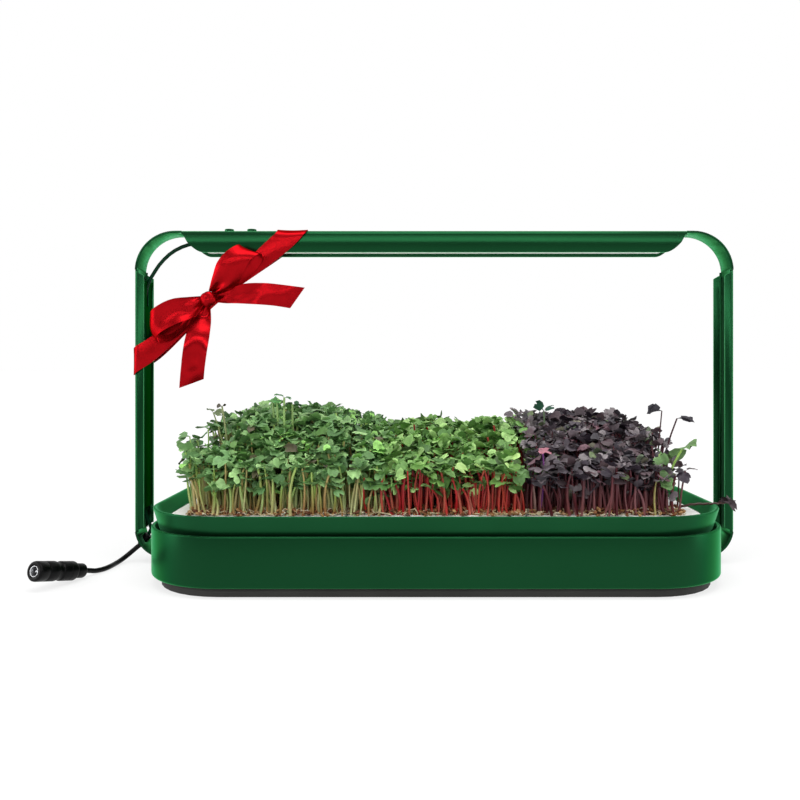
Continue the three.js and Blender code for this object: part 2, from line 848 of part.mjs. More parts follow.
// A ring of points round a rectangle with round corners
function roundedRing(half, halfDepth, radius, height) {
  const ring = [];
  const corners = [[1, 1], [-1, 1], [-1, -1], [1, -1]];
  corners.forEach(([sideX, sideY], quarter) => {
    for (let i = 0; i <= arcSteps; i += 1) {
      const angle = (quarter + i / arcSteps) * (Math.PI / 2);
      const x = sideX * (half - radius) + radius * Math.cos(angle);
      const y = sideY * (halfDepth - radius) + radius * Math.sin(angle);
      ring.push(new THREE.Vector3(x, y, height));
    }
  });
  return ring;
}

// A closed solid through rings of as many points each, with flat ends
function loft(rings) {
  const count = rings[0].length;
  const triangles = [];
  for (let level = 0; level + 1 < rings.length; level += 1) {
    for (let i = 0; i < count; i += 1) {
      const a = level * count + i;
      const b = level * count + ((i + 1) % count);
      triangles.push(a, b, b + count, a, b + count, a + count);
    }
  }
  const last = (rings.length - 1) * count;
  for (let i = 1; i + 1 < count; i += 1) {
    triangles.push(0, i + 1, i, last, last + i, last + i + 1);
  }
  const geometry = new THREE.BufferGeometry().setFromPoints(rings.flat());
  return geometry.setIndex(triangles);
}

// Points of a quarter or half round in a profile of inset and height
function roundOff(centreInset, centreHeight, radius, from, to, steps) {
  const points = [];
  for (let i = 0; i <= steps; i += 1) {
    const angle = THREE.MathUtils.degToRad(from + ((to - from) * i) / steps);
    const inset = centreInset - radius * Math.cos(angle);
    points.push([inset, centreHeight + radius * Math.sin(angle)]);
  }
  return points;
}

function vessel(profile, half, halfDepth, corner) {
  return loft(
    profile.map(([inset, height]) =>
      roundedRing(half - inset, halfDepth - inset, corner - inset, height),
    ),
  );
}

function addBowl() {
  const rim = bowl.wall / 2;
  const profile = [
    ...roundOff(bowl.edge, bowlBase + bowl.edge, bowl.edge, -90, 0, fineSteps),
    ...roundOff(rim, bowlRim - rim, rim, 0, 180, rimSteps),
    ...roundOff(
      bowl.wall + bowl.innerEdge, bowlFloor + bowl.innerEdge, bowl.innerEdge, 0, -90, fineSteps),
  ];
  place(bowlGroup, "bowl", vessel(profile, bowlHalf, bowl.halfDepth, bowl.corner), glaze);
}

// The foot is a rubber ring, open at both sides where the loop's bottom strip passes
function footRing() {
  const ring = (inset) => {
    const points = roundedRing(bowlHalf - inset, bowl.halfDepth - inset, bowl.corner - inset, 0);
    return points.map((point) => new THREE.Vector2(point.x, point.y));
  };
  const shape = new THREE.Shape(ring(foot.inset));
  shape.holes.push(new THREE.Path(ring(foot.inset + foot.width).reverse()));
  return solid(extrudeUp(shape, 0, footTop));
}

function addFoot() {
  const whole = footRing();
  const reach = bowlHalf + cutOverrun;
  const back = bowl.halfDepth + cutOverrun;
  const front = box([-reach, -back, -cutOverrun], [reach, footSlot, bowlBase]);
  const rear = box([-reach, -footSlot, -cutOverrun], [reach, back, bowlBase]);
  place(bowlGroup, "bowl_foot_front", geometryOf(whole.subtract(solid(rear))), darkRubber);
  place(bowlGroup, "bowl_foot_back", geometryOf(whole.subtract(solid(front))), darkRubber);
}

// One tapered leg that stands on the bowl's floor
function trayLeg(x, y) {
  const profile = [
    [0, bowlFloor + touchGap],
    [tray.legFoot, bowlFloor + touchGap],
    [tray.legTop, trayBase + tray.floor / 2],
    [0, trayBase + tray.floor / 2],
  ];
  return solid(turned(profile, 12).translate(x, y, 0));
}

function drainSlot(x, y) {
  const end = tray.slotWidth / 2;
  const reach = tray.slotLength / 2 - end;
  const shape = new THREE.Shape();
  shape.absarc(0, reach, end, 0, Math.PI, false);
  shape.absarc(0, -reach, end, Math.PI, 2 * Math.PI, false);
  const slot = extrudeUp(shape, trayBase - cutOverrun, trayFloor + cutOverrun, fineSteps);
  return solid(slot.translate(x, y, 0));
}

function addTray() {
  const rim = tray.wall / 2;
  const foot = tray.flare + tray.lean;
  const profile = [
    ...roundOff(foot + tray.edge, trayBase + tray.edge, tray.edge, -90, -30, 2),
    [tray.flare, bowlRim],
    ...roundOff(rim, trayRim - rim, rim, 0, 180, rimSteps),
    ...roundOff(foot + tray.wall + tray.innerEdge, trayFloor + tray.innerEdge, tray.innerEdge,
      -15, -90, 3),
  ];
  let body = solid(vessel(profile, trayHalf, trayHalfDepth, trayCorner));
  for (const [shareX, shareY] of legPlaceShares) {
    body = body.add(trayLeg(shareX * trayHalf, shareY * trayHalfDepth));
  }
  for (let p = -1; p <= 1; p += 1) {
    for (let column = 0; column < tray.slotColumns; column += 1) {
      for (let row = 0; row < tray.slotRows; row += 1) {
        const x = p * padPitch + ((column + 0.5) / tray.slotColumns - 0.5) * padLength;
        const y = ((row + 0.5) / tray.slotRows - 0.5) * padDepth;
        body = body.subtract(drainSlot(x, y));
      }
    }
  }
  place(trayGroup, "tray", geometryOf(body), trayFinish);
}

// A pad's outline, drawn in by an inset, with wide corners at an end that meets the tray's end
function padOutline(inset, side) {
  const half = padLength / 2 - inset;
  const halfDepth = padDepth / 2 - inset;
  const left = (side < 0 ? pad.endCorner : pad.corner) - inset;
  const right = (side > 0 ? pad.endCorner : pad.corner) - inset;
  const shape = new THREE.Shape();
  shape.absarc(half - right, right - halfDepth, right, -Math.PI / 2, 0, false);
  shape.absarc(half - right, halfDepth - right, right, 0, Math.PI / 2, false);
  shape.absarc(left - half, halfDepth - left, left, Math.PI / 2, Math.PI, false);
  shape.absarc(left - half, left - halfDepth, left, Math.PI, (3 * Math.PI) / 2, false);
  return shape;
}

// A fibre pad with softened edges
function seedPad(side) {
  const geometry = new THREE.ExtrudeGeometry(padOutline(0, side), {
    depth: pad.thickness - 2 * pad.edge,
    curveSegments: fineSteps,
    bevelThickness: pad.edge,
    bevelSize: pad.edge,
    bevelOffset: -pad.edge,
    bevelSegments: 1,
  });
  return geometry.translate(side * padPitch, 0, padBase + pad.edge);
}

// Steady pseudo-random numbers between zero and one
function randomFrom(seed) {
  let state = seed;
  return () => {
    state = (state * 16807) % 2147483647;
    return state / 2147483647;
  };
}

// How tall a sprout grows: less at the kit's left end, under the ribbon's tail
function sproutHeight(x, random) {
  const fromEdge = x + trayHalf - pad.margin;
  const dip = Math.max(0, 1 - fromEdge / sprout.edgeReach);
  const tallShare = sprout.lowestShare + (1 - sprout.lowestShare) * Math.sqrt(random());
  return Math.max(sprout.height * tallShare - sprout.edgeDip * dip, sprout.shortest);
}

// One sprout: a slim stem that opens into two seed leaves with raised tips
function sproutRings(x, y, height, turn, reach) {
  const ring = (half, width, z, rise) => {
    const points = [];
    for (let i = 0; i < 4; i += 1) {
      const along = i % 2 === 0;
      const radius = along ? half : width;
      const angle = turn + (i * Math.PI) / 2;
      const px = x + radius * Math.cos(angle);
      const py = y + radius * Math.sin(angle);
      points.push(new THREE.Vector3(px, py, z + (along ? rise : 0)));
    }
    return points;
  };
  const base = sproutBase + sprout.layer / 2;
  const neck = sproutBase + height - sprout.headRise;
  const wide = reach * sprout.headWidthShare;
  const tip = neck + sprout.headHeight;
  return [
    ring(sprout.stem, sprout.stem, base, 0),
    ring(sprout.stem, sprout.stem, neck, 0),
    ring(reach, wide, tip - sprout.headHeight / 2, sprout.headRise),
    ring(sprout.stem, sprout.stem, tip, 0),
  ];
}

// A seed layer with its sprouts in a scattered grid
function sproutBed(side, seed) {
  const random = randomFrom(seed);
  const padX = side * padPitch;
  const half = padLength / 2;
  const halfDepth = padDepth / 2;
  const layer = extrudeUp(padOutline(pad.edge, side), sproutBase, sproutBase + sprout.layer,
    fineSteps);
  const bodies = [solid(layer.translate(padX, 0, 0))];
  const cellX = padLength / sprout.columns;
  const cellY = padDepth / sprout.rows;
  const cell = Math.min(cellX, cellY);
  for (let column = 0; column < sprout.columns; column += 1) {
    for (let row = 0; row < sprout.rows; row += 1) {
      const stagger = (row % 2 === 0 ? 1 : -1) * sprout.staggerShare * random() * cellX;
      const x = padX - half + (column + 0.5) * cellX + stagger;
      const y = (row + 0.5) * cellY - halfDepth;
      const turn = random() * Math.PI;
      const rings = sproutRings(x, y, sproutHeight(x, random), turn, sprout.headShare * cell);
      bodies.push(solid(loft(rings)));
    }
  }
  return geometryOf(joined(bodies));
}

const sproutSeeds = [101, 108, 115];

function addPads() {
  const crops = [
    ["left", -1, paleSprouts],
    ["middle", 0, redStemSprouts],
    ["right", 1, darkSprouts],
  ];
  crops.forEach(([name, side, material], i) => {
    const group = new THREE.Group();
    trayGroup.add(group);
    place(group, "seed_pad_" + name, seedPad(side), padFinish);
    place(group, "sprouts_" + name, sproutBed(side, sproutSeeds[i]), material);
  });
}

// A strip of ribbon between two edges that are smooth curves through points. The points are
// ribbon widths right of, in front of and below the loop's top left corner.
function ribbonPoint([right, forward, down]) {
  return new THREE.Vector3(
    right * ribbon.width - loopHalf,
    -forward * ribbon.width,
    loop.top - down * ribbon.width,
  );
}

function ribbonStrip(firstShares, secondShares, steps) {
  const first = new THREE.CatmullRomCurve3(firstShares.map(ribbonPoint), false, "centripetal");
  const second = new THREE.CatmullRomCurve3(secondShares.map(ribbonPoint), false, "centripetal");
  const rings = [];
  for (let i = 0; i <= steps; i += 1) {
    const t = i / steps;
    const a = first.getPoint(t);
    const b = second.getPoint(t);
    const across = b.clone().sub(a);
    const along = first.getTangent(t).add(second.getTangent(t));
    const lift = across.cross(along).setLength(ribbon.thickness / 2);
    rings.push([a.clone().add(lift), b.clone().add(lift), b.clone().sub(lift), a.clone().sub(lift)]);
  }
  return loft(rings);
}

// The bands go round the top bar and the left post and cross the corner between them
const bandFrontShares = [
  [
    [5.1, -0.63, -0.035],
    [5.32, 0.5, -0.035],
    [5.28, 0.645, 0.11],
    [5, 0.66, 0.38],
    [4.3, 0.68, 1.05],
    [2.95, 0.7, 2.28],
    [2.6, 0.7, 2.5],
    [1.6, 0.68, 3.3],
    [0.48, 0.66, 4.07],
    [0.1, 0.645, 4.3],
    [-0.035, 0.5, 4.38],
    [-0.035, -0.63, 4.14],
  ],
  [
    [6.22, -0.63, -0.035],
    [6.44, 0.5, -0.035],
    [6.36, 0.645, 0.11],
    [5.95, 0.66, 0.58],
    [5.12, 0.68, 1.26],
    [3.2, 0.7, 2.6],
    [2.85, 0.7, 2.85],
    [1.85, 0.68, 3.85],
    [0.75, 0.66, 4.85],
    [0.1, 0.645, 5.28],
    [-0.035, 0.5, 5.38],
    [-0.035, -0.63, 5.14],
  ],
];
const bandBackShares = [
  [
    [5.1, -0.67, 0.02],
    [4.7, -0.69, 0.4],
    [2.5, -0.69, 2.2],
    [0.4, -0.69, 3.86],
    [0.02, -0.67, 4.12],
  ],
  [
    [6.22, -0.67, 0.02],
    [5.7, -0.69, 0.5],
    [2.85, -0.69, 2.55],
    [0.6, -0.69, 4.72],
    [0.02, -0.67, 5.12],
  ],
];
const loopUpperShares = [
  [
    [2.87, 0.845, 2.25],
    [3.06, 1.08, 1.73],
    [3.28, 1.28, 1.25],
    [3.64, 1.28, 0.85],
    [4, 1.08, 0.61],
    [4.06, 0.86, 0.67],
    [3.68, 0.78, 1.18],
    [3.27, 0.76, 1.84],
    [2.97, 0.76, 2.25],
  ],
  [
    [3.11, 0.845, 2.4],
    [3.93, 1.08, 2.06],
    [4.26, 1.28, 1.54],
    [4.52, 1.28, 1.14],
    [4.81, 1.08, 0.94],
    [4.82, 0.86, 1.12],
    [4.53, 0.78, 1.55],
    [3.97, 0.76, 2.03],
    [3.19, 0.76, 2.47],
  ],
];
const loopLeftShares = [
  [
    [2.54, 0.845, 2.46],
    [2.13, 1.08, 2.52],
    [1.65, 1.28, 2.6],
    [1.18, 1.28, 2.79],
    [0.79, 1.08, 3.05],
    [0.75, 0.86, 3.25],
    [1.17, 0.78, 3.17],
    [1.79, 0.76, 2.95],
    [2.49, 0.76, 2.62],
  ],
  [
    [2.67, 0.845, 2.77],
    [2.32, 1.08, 3.26],
    [1.9, 1.28, 3.47],
    [1.43, 1.28, 3.68],
    [1.01, 1.08, 3.94],
    [0.95, 0.86, 4.15],
    [1.42, 0.78, 4.08],
    [2.01, 0.76, 3.58],
    [2.6, 0.76, 2.84],
  ],
];
const tailRightShares = [
  [
    [3.16, 0.803, 2.42],
    [3.62, 0.83, 2.22],
    [4.19, 0.94, 2.05],
    [4.92, 1.06, 2.02],
    [5.63, 1, 2.07],
    [6.39, 0.89, 2.16],
  ],
  [
    [3.16, 0.803, 2.69],
    [3.54, 0.83, 2.73],
    [3.97, 0.94, 2.75],
    [4.65, 1.06, 2.8],
    [5.23, 1, 2.83],
    [5.85, 0.89, 2.92],
  ],
];
const tailDownShares = [
  [
    [2.61, 0.803, 2.86],
    [2.22, 0.86, 3.29],
    [2.08, 1, 3.92],
    [2, 1.11, 4.51],
    [1.89, 1.03, 5.17],
    [1.78, 0.94, 5.85],
  ],
  [
    [2.9, 0.803, 2.88],
    [2.94, 0.86, 3.4],
    [2.94, 1, 3.99],
    [2.88, 1.11, 4.51],
    [2.77, 1.03, 5.02],
    [2.68, 0.94, 5.52],
  ],
];
const knotPlaceShares = [2.745, 1.04, 2.55];
const knotSizeShares = [0.29, 0.17, 0.29];

function addRibbon() {
  const strips = [
    ["ribbon_band_front", bandFrontShares, 40],
    ["ribbon_band_back", bandBackShares, 16],
    ["ribbon_loop_upper", loopUpperShares, 32],
    ["ribbon_loop_left", loopLeftShares, 32],
    ["ribbon_tail_right", tailRightShares, 15],
    ["ribbon_tail_down", tailDownShares, 15],
  ];
  for (const [name, [first, second], steps] of strips) {
    place(frameGroup, name, ribbonStrip(first, second, steps), satin);
  }
  const knot = new THREE.SphereGeometry(ribbon.width, 14, 10);
  const centre = ribbonPoint(knotPlaceShares);
  knot.scale(...knotSizeShares).translate(centre.x, centre.y, centre.z);
  place(frameGroup, "ribbon_knot", knot, satin);
}

addLoop();
addStripPads();
addLampHousing();
addBoard();
addDiffuser();
addEndCaps();
addLampScrews();
addButtons();
addBoardModules();
addLampLead();
addLeadCover();
addStrainRelief();
addPowerLead();
addJack();
addRibbon();
addBowl();
addFoot();
addTray();
addPads();

export default kit;
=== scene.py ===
import math
from types import SimpleNamespace as Settings

import bmesh
import bpy
import numpy as np
from mathutils import Matrix, Vector, noise


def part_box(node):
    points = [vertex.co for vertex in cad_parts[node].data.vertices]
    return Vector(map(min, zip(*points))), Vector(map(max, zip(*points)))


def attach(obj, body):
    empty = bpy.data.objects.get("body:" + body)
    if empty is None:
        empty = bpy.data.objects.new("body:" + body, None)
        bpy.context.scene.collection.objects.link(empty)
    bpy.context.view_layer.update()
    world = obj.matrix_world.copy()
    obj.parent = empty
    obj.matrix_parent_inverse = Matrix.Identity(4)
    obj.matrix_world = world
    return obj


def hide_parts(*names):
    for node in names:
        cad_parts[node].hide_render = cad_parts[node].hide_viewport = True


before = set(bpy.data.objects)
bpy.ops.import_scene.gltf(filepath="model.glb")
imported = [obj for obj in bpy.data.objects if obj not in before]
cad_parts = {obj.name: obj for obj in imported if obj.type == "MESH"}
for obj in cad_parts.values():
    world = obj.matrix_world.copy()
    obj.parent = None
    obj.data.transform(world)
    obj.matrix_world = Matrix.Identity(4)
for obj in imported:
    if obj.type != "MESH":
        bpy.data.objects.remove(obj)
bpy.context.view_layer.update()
print("frame loaded:", len(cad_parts), "nodes")

millimetre = 0.001
white = (1, 1, 1, 1)
cropNames = ("left", "middle", "right")


def colour(red, green, blue):  # an sRGB colour in 0-255 as linear values
    def linear(value):
        share = value / 255
        return share / 12.92 if share <= 0.04045 else ((share + 0.055) / 1.055) ** 2.4

    return (linear(red), linear(green), linear(blue), 1.0)


def setInputs(tree, node, inputs):  # sets a node's inputs to values, or links them to outputs
    for socket, value in inputs.items():
        if isinstance(value, bpy.types.NodeSocket):
            tree.links.new(value, node.inputs[socket])
        else:
            node.inputs[socket].default_value = value


def addNode(tree, kind, inputs, **settings):
    node = tree.nodes.new("ShaderNode" + kind)
    for name, value in settings.items():
        setattr(node, name, value)
    setInputs(tree, node, inputs)
    return node


def mapped(tree, source, span, **settings):  # maps the first two values of a span onto the last two
    limits = dict(zip(("From Min", "From Max", "To Min", "To Max"), span))
    return addNode(tree, "MapRange", {"Value": source, **limits}, **settings).outputs["Result"]


# Camera, floor and light

cameraSettings = Settings(place=(-0.0122, -0.551, 0.130), lens=36.36, shift=(-0.02, -0.0375))
floorSettings = Settings(
    half=60.0, litColour=(0.28, 0.28, 0.28, 1), bounceColour=(0.82, 0.82, 0.82, 1),
    fade=(0.3, 1.0, 0.72, 0.88),  # distance from and to, and the floor's own light there
)
worldSettings = Settings(
    light=0.6,
    rise=(0.0, 0.6, 0.35, 0.8),  # height from and to, and the glow there
    ahead=(-0.1, 0.3, 1.0),  # depth from and to, and the glow at its end
)
lightSettings = {  # place, aim, energy, width and height
    "topLight": ((0.05, -0.25, 1.0), (0, 0, 0.06), 6.2, (0.9, 0.6)),
    "leftLight": ((-0.95, -0.2, 0.35), (0, 0, 0.1), 3.4, (0.35, 0.9)),
    "rightLight": ((0.95, -0.2, 0.35), (0, 0, 0.1), 2.6, (0.35, 0.9)),
    "frontLight": ((0.0, -1.1, 0.57), (0, 0, 0.15), 7.0, (2.6, 0.15)),
}


def addCamera():
    bpy.ops.object.camera_add(location=cameraSettings.place, rotation=(math.pi / 2, 0, 0))
    camera = bpy.context.object
    camera.name = "photoCamera"
    camera.data.lens = cameraSettings.lens
    camera.data.shift_x, camera.data.shift_y = cameraSettings.shift
    bpy.context.scene.camera = camera


def addLight(name, place, aim, energy, size):
    bpy.ops.object.light_add(type="AREA", location=place)
    light = bpy.context.object
    light.name = name
    light.data.shape = "RECTANGLE"
    light.data.size, light.data.size_y = size
    light.data.energy = energy
    light.rotation_euler = (Vector(aim) - Vector(place)).to_track_quat("-Z", "Y").to_euler()


def emptyTree(owner):
    owner.use_nodes = True
    owner.node_tree.nodes.clear()
    return owner.node_tree


def shaderMix(tree, share, first, second):
    return addNode(tree, "MixShader", {0: share, 1: first.outputs[0], 2: second.outputs[0]})


def backgroundShare(tree):  # 1 for rays that should see the white background
    path = addNode(tree, "LightPath", {})
    share = path.outputs["Is Camera Ray"]
    for ray in ("Is Glossy Ray", "Is Transmission Ray"):
        share = addNode(tree, "Math", {0: share, 1: path.outputs[ray]}, operation="MAXIMUM").outputs[0]
    return share


def addFloor():
    bpy.ops.mesh.primitive_plane_add(size=2 * floorSettings.half, location=(0, 0, 0))
    floor = bpy.context.object
    floor.name = "floor"
    material = bpy.data.materials.new("whiteFloor")
    tree = emptyTree(material)
    spot = addNode(tree, "TexCoord", {}).outputs["Object"]
    distance = addNode(tree, "VectorMath", {0: spot}, operation="LENGTH").outputs["Value"]
    own = addNode(tree, "Emission", {"Strength": mapped(tree, distance, floorSettings.fade)})
    lit = addNode(tree, "BsdfDiffuse", {"Color": floorSettings.litColour})
    seen = addNode(tree, "AddShader", {0: lit.outputs[0], 1: own.outputs[0]})
    bounce = addNode(tree, "BsdfDiffuse", {"Color": floorSettings.bounceColour})
    mix = shaderMix(tree, backgroundShare(tree), bounce, seen)
    addNode(tree, "OutputMaterial", {"Surface": mix.outputs[0]})
    floor.data.materials.append(material)


def roomGlow(tree):  # the room that metal shows: white ahead, dimmer behind the camera, bright overhead
    place = addNode(tree, "TexCoord", {}).outputs["Generated"]
    axes = addNode(tree, "SeparateXYZ", {0: place})
    low, high, glow = worldSettings.ahead
    rise = mapped(tree, axes.outputs["Z"], worldSettings.rise, interpolation_type="SMOOTHSTEP")
    return mapped(tree, axes.outputs["Y"], (low, high, rise, glow), interpolation_type="SMOOTHSTEP")


def addWorld():
    world = bpy.data.worlds.new("whiteRoom")
    bpy.context.scene.world = world
    tree = emptyTree(world)
    light = addNode(tree, "Background", {"Strength": worldSettings.light})
    plain = addNode(tree, "Background", {"Color": white})
    room = addNode(tree, "Background", {"Strength": roomGlow(tree)})
    glossy = addNode(tree, "LightPath", {}).outputs["Is Glossy Ray"]
    shown = shaderMix(tree, glossy, plain, room)
    mix = shaderMix(tree, backgroundShare(tree), light, shown)
    addNode(tree, "OutputWorld", {"Surface": mix.outputs[0]})


addCamera()
for lightName, settings in lightSettings.items():
    addLight(lightName, *settings)
addFloor()
addWorld()
bpy.context.scene.view_settings.view_transform = "Standard"
print("camera, floor and light made")


# Materials


def tinted(base, factor):
    return tuple(min(1.0, channel * factor) for channel in base[:3]) + (1.0,)


class Finish:  # a material with its tree and one shader
    def __init__(self, name, base, roughness, metallic=0.0, specular=0.5):
        self.material = bpy.data.materials.new(name)
        self.material.use_nodes = True
        self.tree = self.material.node_tree
        self.shader = self.tree.nodes["Principled BSDF"]
        self.base = base
        self.shade({"Base Color": base, "Roughness": roughness, "Metallic": metallic,
                    "Specular IOR Level": specular})

    def shade(self, inputs):
        setInputs(self.tree, self.shader, inputs)

    def node(self, kind, inputs, **settings):
        return addNode(self.tree, kind, inputs, **settings)

    def noise(self, scale, detail, stretch=(1, 1, 1), roughness=0.55):
        spot = self.node("TexCoord", {}).outputs["Object"]
        place = self.node("Mapping", {"Vector": spot, "Scale": stretch}).outputs["Vector"]
        inputs = {"Vector": place, "Scale": scale, "Detail": detail, "Roughness": roughness}
        return self.node("TexNoise", inputs).outputs["Fac"]

    def ramp(self, source, low, high, first, second):  # maps low..high onto two colours
        made = self.node("ValToRGB", {"Fac": source})
        ends = made.color_ramp.elements
        ends[0].position, ends[0].color = low, first
        ends[1].position, ends[1].color = high, second
        return made.outputs["Color"]

    def tones(self, source, low, high, dark, light):  # maps low..high onto a darker and a lighter base
        return self.ramp(source, low, high, tinted(self.base, dark), tinted(self.base, light))

    def between(self, source, low, high):  # maps a 0..1 value onto low..high
        return mapped(self.tree, source, (0.0, 1.0, low, high))

    def multiply(self, first, second):
        return self.node("Mix", {"Factor": 1.0, "A": first, "B": second}, data_type="RGBA",
                         blend_type="MULTIPLY").outputs["Result"]

    def uv(self, layer):
        return self.node("UVMap", {}, uv_map=layer).outputs["UV"]

    def bump(self, source, strength, distance):  # on top of the bumps before it
        last = self.shader.inputs["Normal"]
        inputs = {"Height": source, "Strength": strength, "Distance": distance}
        if last.is_linked:
            inputs["Normal"] = last.links[0].from_socket
        self.shade({"Normal": self.node("Bump", inputs).outputs["Normal"]})

    def grained(self, cloud, grain, tones, roughness, bump):
        self.shade({"Base Color": self.tones(cloud, 0.3, 0.7, *tones),
                    "Roughness": self.between(grain, *roughness)})
        self.bump(grain, *bump)
        return self.material


greenEdge = (0.30, 1.0, 0.50, 1)
softSheen = (0.16, 0.8, 0.34, 1)
greenSettings = {  # base, edge, metallic, roughness, sheen and its tint, clouds, grain and its strength
    "greenPaint": ((0.0056, 0.0470, 0.0155, 1), greenEdge, 0.9, (0.20, 0.28), 1.0, (0.28, 1.0, 0.48, 1),
                   9.0, 900.0, 0.02),
    "bowlGloss": ((0.0066, 0.0520, 0.0180, 1), greenEdge, 0.9, (0.27, 0.31), 0.4, softSheen,
                  6.0, 420.0, 0.004),
    "trayPlastic": ((0.0072, 0.0600, 0.0205, 1), greenEdge, 0.85, (0.26, 0.38), 0.5, softSheen,
                    14.0, 1300.0, 0.04),
    "coverPaint": ((0.0076, 0.0560, 0.0230, 1), (0.08, 0.42, 0.18, 1), 1.0, (0.4, 0.5), 0.0, softSheen,
                   14.0, 1000.0, 0.05),
}
mouldedSettings = {  # base, roughness, specular, grain and its depth
    "footRubber": (colour(46, 46, 44), 0.72, 0.4, 900.0, 0.0003),
    "blackPlastic": (colour(15, 15, 16), 0.36, 0.3, 1200.0, 0.00015),
    "leadJacket": (colour(2, 46, 26), 0.30, 0.1, 1500.0, 0.0001),
    "cordJacket": (colour(4, 4, 5), 0.36, 0.12, 1500.0, 0.00015),
}
brushedSettings = {  # base, roughness, stretch of the lines
    "screwSteel": (colour(205, 206, 208), 0.3, (1, 1, 0.1)),
    "housingAluminium": (colour(200, 202, 202), 0.34, (0.03, 1, 1)),
}
frostedSettings = Settings(colour=(0.86, 0.88, 0.86, 1), dark=(0.8, 0.82, 0.8, 1),
                           light=(0.93, 0.94, 0.92, 1), lines=500.0, stretch=(0.02, 1, 1))
boardSettings = Settings(base=colour(226, 230, 222), one=colour(228, 232, 224), other=colour(218, 224, 214),
                         track=colour(170, 180, 160), scale=60.0, trackWidth=0.01, grain=700.0)


def makeGreen(name):  # a deep green that gleams at its edges
    base, edge, metallic, roughness, sheen, tint, cloud, grainScale, strength = greenSettings[name]
    finish = Finish(name, base, roughness[0], metallic=metallic)
    finish.shade({"Specular Tint": edge, "Sheen Weight": sheen, "Sheen Tint": tint,
                  "Sheen Roughness": 0.35})
    return finish.grained(finish.noise(cloud, 3.0), finish.noise(grainScale, 2.0), (0.9, 1.08), roughness,
                          (strength, 0.0002))


def makeMoulded(name):
    base, roughness, specular, grainScale, depth = mouldedSettings[name]
    finish = Finish(name, base, roughness, specular=specular)
    return finish.grained(finish.noise(30.0, 4.0), finish.noise(grainScale, 2.0), (0.8, 1.25),
                          (roughness - 0.08, roughness + 0.08), (0.25, depth))


def makeBrushed(name):
    base, roughness, stretch = brushedSettings[name]
    finish = Finish(name, base, roughness, metallic=1.0)
    lines = finish.noise(260.0, 3.0, stretch)
    return finish.grained(lines, lines, (0.85, 1.08), (roughness - 0.08, roughness + 0.1), (0.12, 0.0001))


def makeFrosted():
    settings = frostedSettings
    finish = Finish("frostedDiffuser", settings.colour, 0.55)
    lines = finish.noise(settings.lines, 2.0, settings.stretch)
    finish.shade({"Base Color": finish.ramp(lines, 0.3, 0.7, settings.dark, settings.light)})
    finish.bump(lines, 0.15, 0.0002)
    return finish.material


def makeBoard():  # a white board with printed tracks
    settings = boardSettings
    finish = Finish("whiteBoard", settings.base, 0.5)
    tracks = finish.node("TexBrick", {
        "Vector": finish.node("TexCoord", {}).outputs["Object"], "Scale": settings.scale,
        "Color1": settings.one, "Color2": settings.other, "Mortar": settings.track,
        "Mortar Size": settings.trackWidth})
    finish.shade({"Base Color": tracks.outputs["Color"]})
    finish.bump(finish.noise(settings.grain, 2.0), 0.1, 0.0001)
    return finish.material


greenPaint, bowlGloss, trayPlastic, coverPaint = (makeGreen(name) for name in greenSettings)
footRubber, blackPlastic, leadJacket, cordJacket = (makeMoulded(name) for name in mouldedSettings)
steel, housingMetal = (makeBrushed(name) for name in brushedSettings)
frosted = makeFrosted()
boardFinish = makeBoard()

keptNodes = {  # the solids inside the lamp that stay as they are
    "led_board": boardFinish, "lead_terminal": boardFinish, "switch_power": blackPlastic,
    "switch_timer": blackPlastic, "timer_module": blackPlastic,
}
for nodeName, nodeFinish in keptNodes.items():
    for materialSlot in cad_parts[nodeName].material_slots:
        materialSlot.material = nodeFinish
print("materials made")


# Shared steps


def deselectAll():
    if bpy.context.object and bpy.context.object.mode != "OBJECT":
        bpy.ops.object.mode_set(mode="OBJECT")
    bpy.ops.object.select_all(action="DESELECT")


def activate(piece):
    deselectAll()
    piece.select_set(True)
    bpy.context.view_layer.objects.active = piece


def edit(piece):
    activate(piece)
    bpy.ops.object.mode_set(mode="EDIT")
    bpy.ops.mesh.select_all(action="SELECT")


def endEdit():  # leaves edit mode with all faces turned outward
    bpy.ops.mesh.select_all(action="SELECT")
    bpy.ops.mesh.normals_make_consistent(inside=False)
    bpy.ops.object.mode_set(mode="OBJECT")


def smoothed(piece, degrees):
    activate(piece)
    bpy.ops.object.shade_smooth_by_angle(angle=math.radians(degrees))


def applied(piece, kind, **settings):  # adds a modifier and applies it
    modifier = piece.modifiers.new(kind.title(), kind)
    for name, value in settings.items():
        setattr(modifier, name, value)
    activate(piece)
    bpy.ops.object.modifier_apply(modifier=modifier.name)


def nameOf(node):  # a piece is named after its node, in camel case
    first, *others = node.split("_")
    return first + "".join(word.title() for word in others)


def linked(data):  # a new object in the scene
    piece = bpy.data.objects.new(data.name, data)
    bpy.context.collection.objects.link(piece)
    return piece


def finished(piece, node, material, angle=None, body="frame"):
    if angle:
        smoothed(piece, angle)
    piece.data.materials.clear()
    piece.data.materials.append(material)
    if node:
        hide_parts(node)
    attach(piece, body)
    return piece


def boxOf(node):
    low, high = (Vector(corner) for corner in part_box(node))
    return low, high, (low + high) / 2


def refinedCopy(node, angle, edge=0.0):  # a merged copy with softened edges
    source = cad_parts[node]
    piece = source.copy()
    piece.data = source.data.copy()
    piece.name = nameOf(node)
    piece.parent = None
    piece.matrix_world = Matrix.Identity(4)
    bpy.context.collection.objects.link(piece)
    edit(piece)
    bpy.ops.mesh.remove_doubles(threshold=0.000002)
    bpy.ops.mesh.dissolve_limited(angle_limit=math.radians(0.6))
    bpy.ops.object.mode_set(mode="OBJECT")
    if edge:
        applied(piece, "BEVEL", width=edge, segments=2, limit_method="ANGLE",
                angle_limit=math.radians(40), use_clamp_overlap=True)
    smoothed(piece, angle)
    return piece


